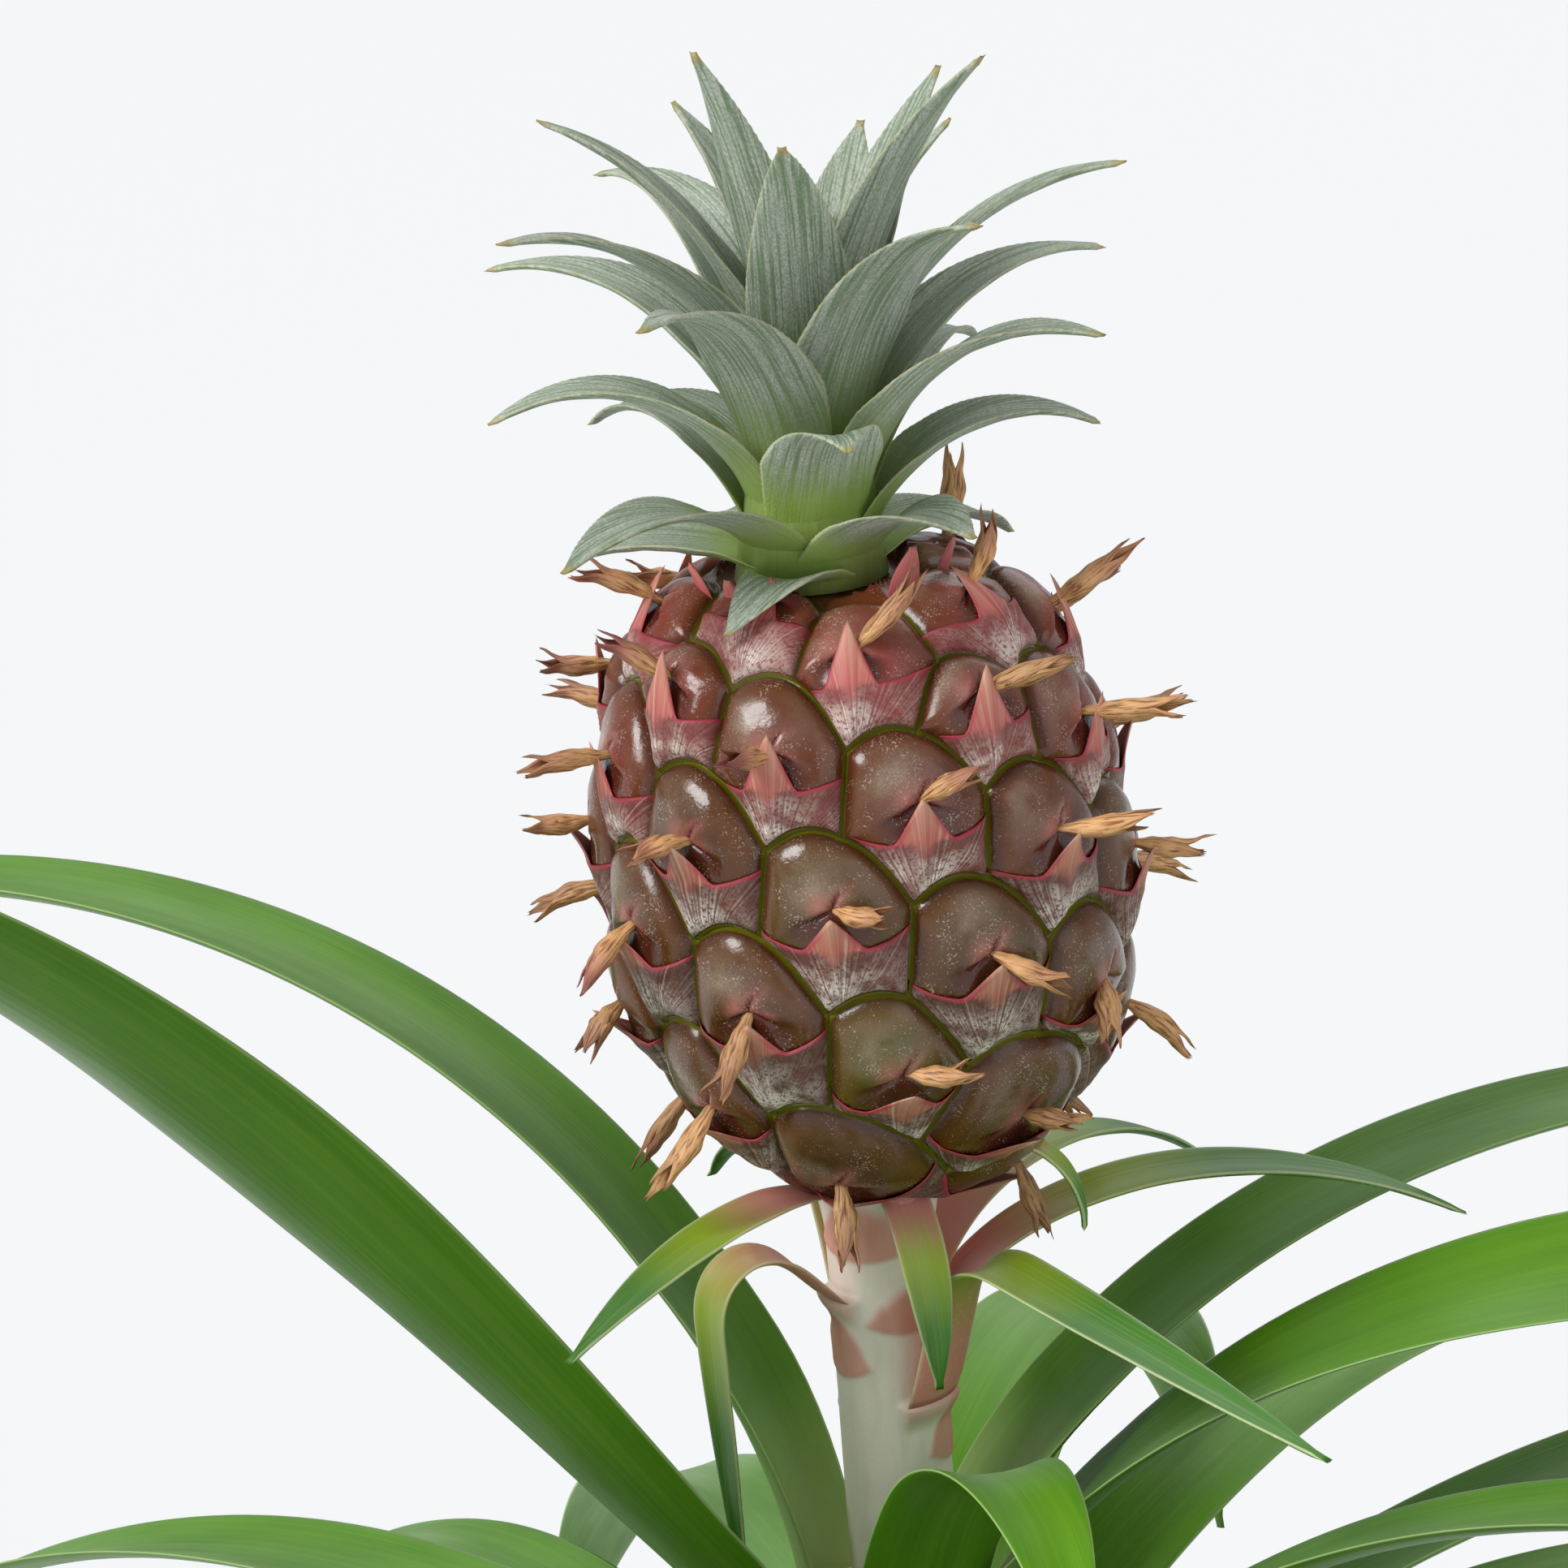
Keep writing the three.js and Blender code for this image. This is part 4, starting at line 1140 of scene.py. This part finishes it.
def add_eye(shell, eye, settings):
    rings = 16
    plain = clamp(1.35 * eye.point.z / FRUIT_HEIGHT - 0.35 + 0.2 * draw(eye.k, 21), -0.3, 1)
    tone = EYE_TONES.get(eye.k, plain)

    def shape(turn, row):
        rho = 1 - (1 - row / rings) ** 1.45
        where = eye.where.lerp(eye.rim[turn], rho)
        x, y = eye.local(where.normalized())
        crease, near = fold_marks(x / eye.size, y / eye.size)
        lip = lip_mark(x / eye.size, y / eye.size)
        low = eye.scale_line(x) - y
        raised = dome(eye, rho, settings) - 0.5 * crease * (1 - rho) - 0.4 * lip * near_axis(eye)
        raised -= 0.8 * smoothstep(low, 0.2, 1.5) * (1 - smoothstep(rho, 0.85, 1))
        raised += 0.3 * waver(x / 3, y / 3, eye.k) * (1 - rho)
        blush = math.exp(-(((x + 1.2) / 1.5) ** 2 + ((y - 0.5) / 1.6) ** 2))
        blush = max(0.6 * blush, 0.55 * near * (1 - lip))
        # A painted highlight: a patch on each eye's upper left, towards the key lamp. Only the fainter cover
        # over the upper half is the eye's real bloom
        painted_highlight = math.exp(-(((x + 3 * eye.size) / 3) ** 2 + ((y - 3.2 * eye.size) / 2.6) ** 2))
        bloom_and_painted_highlight = (0.2 * smoothstep(y, -2, 2) + 0.8 * painted_highlight) * (1 - smoothstep(rho, 0.7, 0.95))
        point = keep_clear(on_fruit(where, raised)[0])
        # The lobes' share is kept for the painted shade that the material lays there
        return point, ((0.8 * lip, bloom_and_painted_highlight, rho), (crease, blush, tone))

    shell.tube(len(eye.rim), rings, shape)


class PINEAPPLE_OT_eyes(bpy.types.Operator):
    """The fruit's body: one closed skin of domed eyes between narrow grooves"""

    bl_idname = "pineapple.eyes"
    bl_label = "Fruit eyes"

    def execute(self, context):
        settings = context.scene.pineapple_fruit
        shell = Shell("cell", "marks")
        for eye in make_eyes():
            add_eye(shell, eye, settings)
        bmesh.ops.remove_doubles(shell.bm, verts=shell.bm.verts, dist=0.01)
        shell.finish("fruit_eyes", eye_skin(settings), "fruit", "fruit", seat=HEAD)
        return {"FINISHED"}


def scale_end(eye, way):
    """How far the scale reaches to one side before its upper edge meets the groove."""
    x = 0.0
    while abs(x) < 14:
        low = eye.low_edge(x + 0.1 * way)
        if low is None or low > eye.scale_line(x + 0.1 * way) - 0.3:
            break
        x += 0.1 * way
    return x


def add_scale(shell, eye, settings):
    """A scale over an eye's lower part, from the groove to a toothed edge with a long tip in its middle."""
    size = eye.size
    left = scale_end(eye, -1)
    right = scale_end(eye, 1)
    if right - left < 6 * size:
        return
    foot = 3.7 * size
    height = (5.3 + 3.6 * smoothstep(eye.point.z / FRUIT_HEIGHT, 0.6, 0.92)) * size
    rose = clamp(1.9 * eye.point.z / FRUIT_HEIGHT - 1 + 0.2 * draw(eye.k, 24))
    rows = 18
    across = 40
    lean = 0.6 * draw(eye.k, 22)
    stand = lerp(0.4, 1, near_axis(eye)) * (2.6 + 0.8 * draw(eye.k, 23))

    def shape(u, row, side):
        step = math.asin(clamp(u, -1, 1)) * 2 / math.pi
        inner = abs(step) / 0.4
        if inner <= 1:
            x = math.copysign(inner, step) * foot
        else:
            end = right if step > 0 else -left
            x = math.copysign(lerp(foot, end, (abs(step) - 0.4) / 0.6), step)
        line = eye.scale_line(x)
        q = min(1, abs(x) / foot)
        tip = height * (1 - math.sqrt(q * q + 0.006) ** 0.8) * (1 - q**8)
        tooth = 0.0 if abs(x) < foot else 0.1 * size * (1 if round(step * across) % 2 else -1)
        low = eye.low_edge(x)
        low = line - 0.3 if low is None else min(low + 0.15, line - 0.15)
        v = row / rows
        y = lerp(low, line + tooth + tip, v)
        share = max(0, (y - line - tooth) / height)
        drift = lean * share * share * 2
        rho = min(1, eye.rim_share(x, y))
        bare = smoothstep(y - low, 0, 0.8)
        raised = dome(eye, rho, settings) + lerp(-0.5, 0.28, bare)
        raised -= 0.35 * smoothstep(line - y, 0.4, 2.5) * bare
        raised += 0.3 * math.exp(-((x / 0.8) ** 2)) * bare + stand * share**1.3 * (1 - 0.4 * q)
        body = min(1, v * rows / 2, (1 - v) * rows / 1.5) * math.sqrt(max(0, 1 - abs(u) ** 8))
        raised -= 0.15 + (0.15 if side else -0.15) * body
        point = keep_clear(on_fruit(eye.direction(x + drift, y), raised)[0])
        reach = lerp(1.6, 0.6, smoothstep(q, 0.6, 1)) * size
        edge = 1 - smoothstep(line + tooth + tip - y, 0.2 * reach, reach)
        edge *= 1 - smoothstep(share, 0.3, 0.7)
        fan = 9 * x / (y + 15 * size)
        below = share if share > 0 else (y - line) / (5 * size) - abs(x) / (4 * size)
        up = clamp((y - low) / max(0.3, line - low))
        middle = math.exp(-((x / (3.8 * size)) ** 2))
        return point, ((fan + 30 * eye.k, middle, up), (below, edge, rose))

    shell.sheet(across, rows, shape)


# Pointed bracts round the crown's foot: azimuth, radius and length
TOP_BRACTS = (
    (38, 12.4, 9.5),
    (74, 12.2, 8),
    (176, 12.2, 6.5),
    (-76, 14.4, 7),
    (-48, 13.9, 6.5),
)


def add_bract(shell, number, azimuth, radius, length):
    """A pointed pink bract that stands beside the crown's foot."""
    steps = 20
    blade = small_leaf((azimuth, radius, FRUIT_HEIGHT - 4.3, length, 78, 66, 1, 2.1))
    arcs = [section(blade, at, 2) for at in midline(blade, steps)]

    def shape(u, row, side):
        s = row / steps
        body = bulge(u, row, steps, 5)
        point = on_section(arcs[row], u, blade["thickness"] * (0.5 + (body if side else -body) / 2))
        edge = 0.8 * smoothstep(abs(u), 0.5, 1) * (1 - s)
        return point, ((6 * u + 30 * number, 0.5, s), (0.25 * s, edge, 1))

    shell.sheet(10, steps, shape)


class PINEAPPLE_OT_scales(bpy.types.Operator):
    """The scale over the lower part of each eye, and the bracts round the crown's foot"""

    bl_idname = "pineapple.scales"
    bl_label = "Fruit scales"

    def execute(self, context):
        settings = context.scene.pineapple_fruit
        shell = Shell("cell", "marks")
        for eye in make_eyes():
            if eye.reach > 12.5 or (eye.point.z < 30 and eye.reach > 9.5):
                add_scale(shell, eye, settings)
        for number, bract in enumerate(TOP_BRACTS):
            add_bract(shell, number, *bract)
        shell.finish("fruit_scales", scale_skin(settings), "fruit", "fruit", seat=HEAD)
        return {"FINISHED"}


# Where the dried flowers that show point, as seen from the camera: millimetres to the right and up
FLOWER_LEAN = {
    3: (2.4, -10.5),
    6: (7.2, -1.4),
    11: (9.1, 0.5),
    13: (-4.3, -7.7),
    14: (0.5, -8.9),
    16: (-4.8, -10.1),
    19: (9.1, -4.8),
    21: (-6.7, -8.6),
    24: (7, -0.3),
    26: (-8.8, -0.7),
    27: (11.5, 1.4),
    29: (-7.4, -2.4),
    32: (7.7, 3.4),
    34: (-11.2, -2),
    35: (12.9, 1),
    37: (-4.8, -1),
    39: (-9.9, 0.1),
    40: (12.3, 4.1),
    42: (-9.4, 5.1),
    43: (11, 7.2),
    44: (-8.5, 1.5),
    45: (8.6, 9.9),
    47: (-11, 3.6),
    48: (2.4, 9.9),
}


def flower_aim(eye):
    """Length and direction of an eye's flower. Where none is set, upper ones rise and lower ones hang."""
    length = 11.5 + 1.5 * draw(eye.k, 11)
    if eye.k in FLOWER_LEAN:
        right, up = FLOWER_LEAN[eye.k]
        length = max(9, math.hypot(right, up) + 0.4)
        toward = math.sqrt(length * length - right * right - up * up)
        sine, cosine = math.sin(CAMERA_RAISED), math.cos(CAMERA_RAISED)
        seen = Vector((right, up * sine - toward * cosine, up * cosine + toward * sine))
        return length, (HEAD.to_3x3().inverted() @ seen).normalized()
    pull = lerp(-0.75, 0.45, eye.point.z / FRUIT_HEIGHT) + 0.15 * draw(eye.k, 12)
    aim = eye.normal + UP * pull + eye.across * 0.3 * draw(eye.k, 13)
    return length, aim.normalized()


PETALS = 3
# Distance of a petal from the flower's middle line at shares of its length
PETAL_SWELL = ((0, 0.45), (0.12, 0.6), (0.3, 1.15), (0.5, 1.45), (0.75, 1.1), (1, 0.8))


def petal_radius(s):
    for (a, ra), (b, rb) in zip(PETAL_SWELL, PETAL_SWELL[1:]):
        if s <= b:
            return lerp(ra, rb, smoothstep(s, a, b))
    return PETAL_SWELL[-1][1]


def add_flower(shell, eye):
    """A withered flower: petals wrapped round each other from a thin neck, which part at a ragged tip."""
    length, aim = flower_aim(eye)
    side = UP.cross(aim).normalized()
    lift = aim.cross(side)
    root = eye.point + eye.normal * 0.6
    rows = 22
    twist = 1.5 * draw(eye.k, 14)
    bend = 1.4 * draw(eye.k, 15)
    drop = draw(eye.k, 16)
    purple = 0.55 * eye.point.z / FRUIT_HEIGHT - 0.35 * eye.point.x / FRUIT_RADIUS + 0.3 * draw(eye.k, 17)
    dark = 1 - smoothstep(eye.point.z / FRUIT_HEIGHT, 0.05, 0.3)
    for j in range(PETALS):
        start = math.tau * j / PETALS + 3 * draw(eye.k, 19)
        own = 1 - 0.16 * (0.5 + 0.5 * draw(eye.k + 60 * j, 41))
        flare = 0.5 + 0.9 * draw(eye.k + 60 * j, 42)
        tone = draw(eye.k + 60 * j, 18) - dark

        def shape(u, row, front):
            s = row / rows
            along = s * own
            wide = 1.25 * math.pi / PETALS * (1 - 0.88 * smoothstep(s, 0.62, 1))
            ragged = waver(u * 4, j * 7, eye.k) * 0.09 * smoothstep(s, 0.8, 1)
            crumple = waver(u * 2.2, s * 6, eye.k * 3 + j)
            angle = start + twist * s + u * wide
            body = bulge(u, row, rows, 6)
            radius = petal_radius(s) * (1 + 0.22 * crumple) + flare * smoothstep(s, 0.6, 1) ** 2
            radius += (0.14 if front else -0.14) * body
            middle = root + eye.normal * (2.4 * min(along, 0.25)) + aim * (length * (along + ragged))
            middle += side * (bend * along * along * 1.6) + lift * (drop * math.sin(math.pi * along))
            point = middle + side * (radius * math.cos(angle)) + lift * (0.8 * radius * math.sin(angle))
            tip = clamp(purple, 0.1, 0.9) * smoothstep(s, 0.25, 0.85)
            return point, ((u * 1.5 + 9 * eye.k, 5 * j, s * length), (0, tip, tone))

        shell.sheet(7, rows, shape)


class PINEAPPLE_OT_flowers(bpy.types.Operator):
    """The dried flower that stands out of each eye"""

    bl_idname = "pineapple.flowers"
    bl_label = "Dried flowers"

    def execute(self, context):
        settings = context.scene.pineapple_fruit
        shell = Shell("cell", "marks")
        for eye in make_eyes():
            if (eye.reach > 16 or eye.point.z < 30) and eye.reach > STALK_RADIUS + 4:
                add_flower(shell, eye)
        shell.finish("dried_flowers", dried_petal(settings), "fruit", "fruit", seat=HEAD)
        return {"FINISHED"}


# The crown

CROWN_LEAVES = 30
# The number of the leaf that would stand at the core's top, and how many short ones stand round its foot
CROWN_TOP_LEAF = 33
CROWN_LOW_LEAVES = 12
# The crown stands a little left of the fruit's middle line, and leans to the right as it rises
CROWN_SHIFT = -2.4
CROWN_LEAN = 0.05
CORE_HEIGHT = 31
CORE_AROUND = 24
# The crown leaves that show best: length, the slope in degrees that they bend to, and for some the slope
# that they rise at and the sway
CROWN_OWN = {
    0: (20, -50, 45),
    1: (15.5, -52, 33, -0.35),
    2: (23.5, -40, 24),
    3: (20.5, -18, 22),
    4: (24, -24, 52),
    5: (28, -35, 48),
    6: (35.5, -27, 43),
    7: (33, -30),
    9: (33, -10),
    12: (43, -12),
    14: (52, -6),
    15: (44, -16),
    17: (53, 6),
    18: (42, 30),
    19: (52, -2),
    20: (49, 3),
    21: (50, -17),
    22: (47, 33),
    23: (42, 46),
    24: (47, 22),
    25: (50, 37),
    26: (27, 60),
    27: (46.5, 54),
    28: (33, 40),
    29: (35, 42),
}


def crown_leaf(k):
    t = k / CROWN_TOP_LEAF
    step = clamp(k / CROWN_LOW_LEAVES)
    over = clamp((k - CROWN_LOW_LEAVES) / (CROWN_TOP_LEAF - CROWN_LOW_LEAVES))
    radius = lerp(7.8, 1.6, t)
    length = lerp(16, 42, step) if k < CROWN_LOW_LEAVES else lerp(47, 35, over * over)
    plain = (length, lerp(-62, -26, step) + 92 * over**1.25, lerp(56, 72, step) + 11 * over, 0)
    own = CROWN_OWN.get(k, ())
    length, fall, rise, sway = own + plain[len(own) :]
    return {
        "azimuth": math.radians(8) + SPIRAL * (k - 9),
        "radius": radius,
        "height": 0.8 + 27 * t**1.15,
        "length": length,
        "rise": math.radians(rise),
        "fall": math.radians(fall),
        "bend": lerp(1, 1.35, t),
        "sway": sway,
        "roll": 0,
        "sheath": 0.3,
        "cup": 0.5,
        "thickness": 0.7,
        "half_width": crown_width(min(6.9, 0.95 * radius), min(lerp(7.1, 4.2, over * over), 0.3 * length)),
    }


class PINEAPPLE_OT_crown(bpy.types.Operator):
    """The crown's leaves and the short core they grow from"""

    bl_idname = "pineapple.crown"
    bl_label = "Crown"

    def execute(self, context):
        settings = context.scene.pineapple_crown
        shell = Shell("blade", "skin")
        for k in range(CROWN_LEAVES):
            add_blade(shell, crown_leaf(k), steps=76, across=9, panels=2, number=k, tooth=settings.tooth)
        widths = ((0, 0), (9, 0), (6.75, CORE_HEIGHT / 2), (1, CORE_HEIGHT), (0, CORE_HEIGHT))

        def core(turn, row):
            radius, height = widths[row]
            out = outward(turn / CORE_AROUND * math.tau)
            return out * radius + UP * height, ((turn, 4, 0), (0.1, 1, 0))

        shell.tube(CORE_AROUND, len(widths) - 1, core)
        lean = Matrix(((1, 0, CROWN_LEAN, 0), (0, 1, 0, 0), (0, 0, 1, 0), (0, 0, 0, 1)))
        seat = HEAD @ Matrix.Translation((CROWN_SHIFT, 0, FRUIT_HEIGHT - FLAT_TOP + GAP)) @ lean
        shell.finish("crown_leaves", crown_leaf_skin(settings), "crown", "crown", seat=seat)
        return {"FINISHED"}


# The stage

# Where the camera looks, how far off it stands and how wide it sees there, in metres, and its height angle
TARGET = Vector((-13.37, -6.6, 258.9)) * MM
CAMERA_DISTANCE = 0.72
VIEW_WIDTH = 0.1853
CAMERA_RAISED = math.radians(11.05)


def aimed(data, place):
    """Stands a lamp or camera in its place, turned to the target."""
    made = bpy.data.objects.new(data.name, data)
    made.location = place
    made.rotation_mode = "QUATERNION"
    made.rotation_quaternion = (TARGET - Vector(place)).to_track_quat("-Z", "Y")
    bpy.context.scene.collection.objects.link(made)
    return made


def soft_light(name, place, spread, strength):
    """A broad far lamp, which lights the plant and the whole floor evenly. spread is its width in degrees."""
    data = bpy.data.lights.new(name, "SUN")
    data.angle = math.radians(spread)
    data.energy = strength
    aimed(data, place)


class PINEAPPLE_OT_stage(bpy.types.Operator):
    """The pale floor, the soft studio light and the camera"""

    bl_idname = "pineapple.stage"
    bl_label = "Stage"

    def execute(self, context):
        scene = context.scene
        bm = bmesh.new()
        bmesh.ops.create_grid(bm, x_segments=8, y_segments=8, size=30)
        floor = as_object("studio_floor", bm)
        paper = start_material("matt studio paper", 0.9, Base_Color=(*linear("#f3f4f5"), 1))
        floor.data.materials.append(paper)
        floor.location.z = -0.001
        world = bpy.data.worlds.new("studio_air")
        world.use_nodes = True
        air = world.node_tree.nodes["Background"].inputs
        air["Color"].default_value = (*linear("#f4f6f8"), 1)
        air["Strength"].default_value = 0.46
        scene.world = world
        soft_light("key_softbox", (-1.1, -0.65, 1.15), spread=28, strength=2.45)
        soft_light("fill_softbox", (0.9, -0.9, 0.7), spread=50, strength=0.5)
        soft_light("back_softbox", (0.25, 1.1, 1.3), spread=50, strength=0.5)
        data = bpy.data.cameras.new("photo_camera")
        data.sensor_width = 36
        data.lens = 36 / 2 / (VIEW_WIDTH / 2 / CAMERA_DISTANCE)
        data.clip_start = 0.05
        data.clip_end = 100
        back = Vector((0, -math.cos(CAMERA_RAISED), math.sin(CAMERA_RAISED)))
        scene.camera = aimed(data, TARGET + back * CAMERA_DISTANCE)
        scene.view_settings.view_transform = "Standard"
        return {"FINISHED"}


class PINEAPPLE_PT_panel(bpy.types.Panel):
    """Lists the steps that build the plant"""

    bl_idname = "PINEAPPLE_PT_panel"
    bl_label = "Potted pineapple plant"
    bl_space_type = "VIEW_3D"
    bl_region_type = "UI"
    bl_category = "Pineapple"

    def draw(self, context):
        for name in GROUPS:
            group = getattr(context.scene, name)
            box = self.layout.box()
            for setting in group.__annotations__:
                box.prop(group, setting)
        for operator in OPERATORS:
            self.layout.operator(operator.bl_idname)


GROUPS = {
    "pineapple_pot": PotSettings,
    "pineapple_leaf": LeafSettings,
    "pineapple_fruit": FruitSettings,
    "pineapple_crown": CrownSettings,
}
OPERATORS = (
    PINEAPPLE_OT_pot,
    PINEAPPLE_OT_soil,
    PINEAPPLE_OT_stem,
    PINEAPPLE_OT_rosette,
    PINEAPPLE_OT_stalk_leaves,
    PINEAPPLE_OT_eyes,
    PINEAPPLE_OT_scales,
    PINEAPPLE_OT_flowers,
    PINEAPPLE_OT_crown,
    PINEAPPLE_OT_stage,
)


def register():
    for name, group in GROUPS.items():
        bpy.utils.register_class(group)
        setattr(bpy.types.Scene, name, bpy.props.PointerProperty(type=group))
    for operator in OPERATORS:
        bpy.utils.register_class(operator)
    bpy.utils.register_class(PINEAPPLE_PT_panel)


def unregister():
    bpy.utils.unregister_class(PINEAPPLE_PT_panel)
    for operator in reversed(OPERATORS):
        bpy.utils.unregister_class(operator)
    for name, group in GROUPS.items():
        delattr(bpy.types.Scene, name)
        bpy.utils.unregister_class(group)


def main():
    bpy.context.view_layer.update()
    register()
    for operator in OPERATORS:
        group, name = operator.bl_idname.split(".")
        getattr(getattr(bpy.ops, group), name)()


if __name__ == "__main__":
    main()
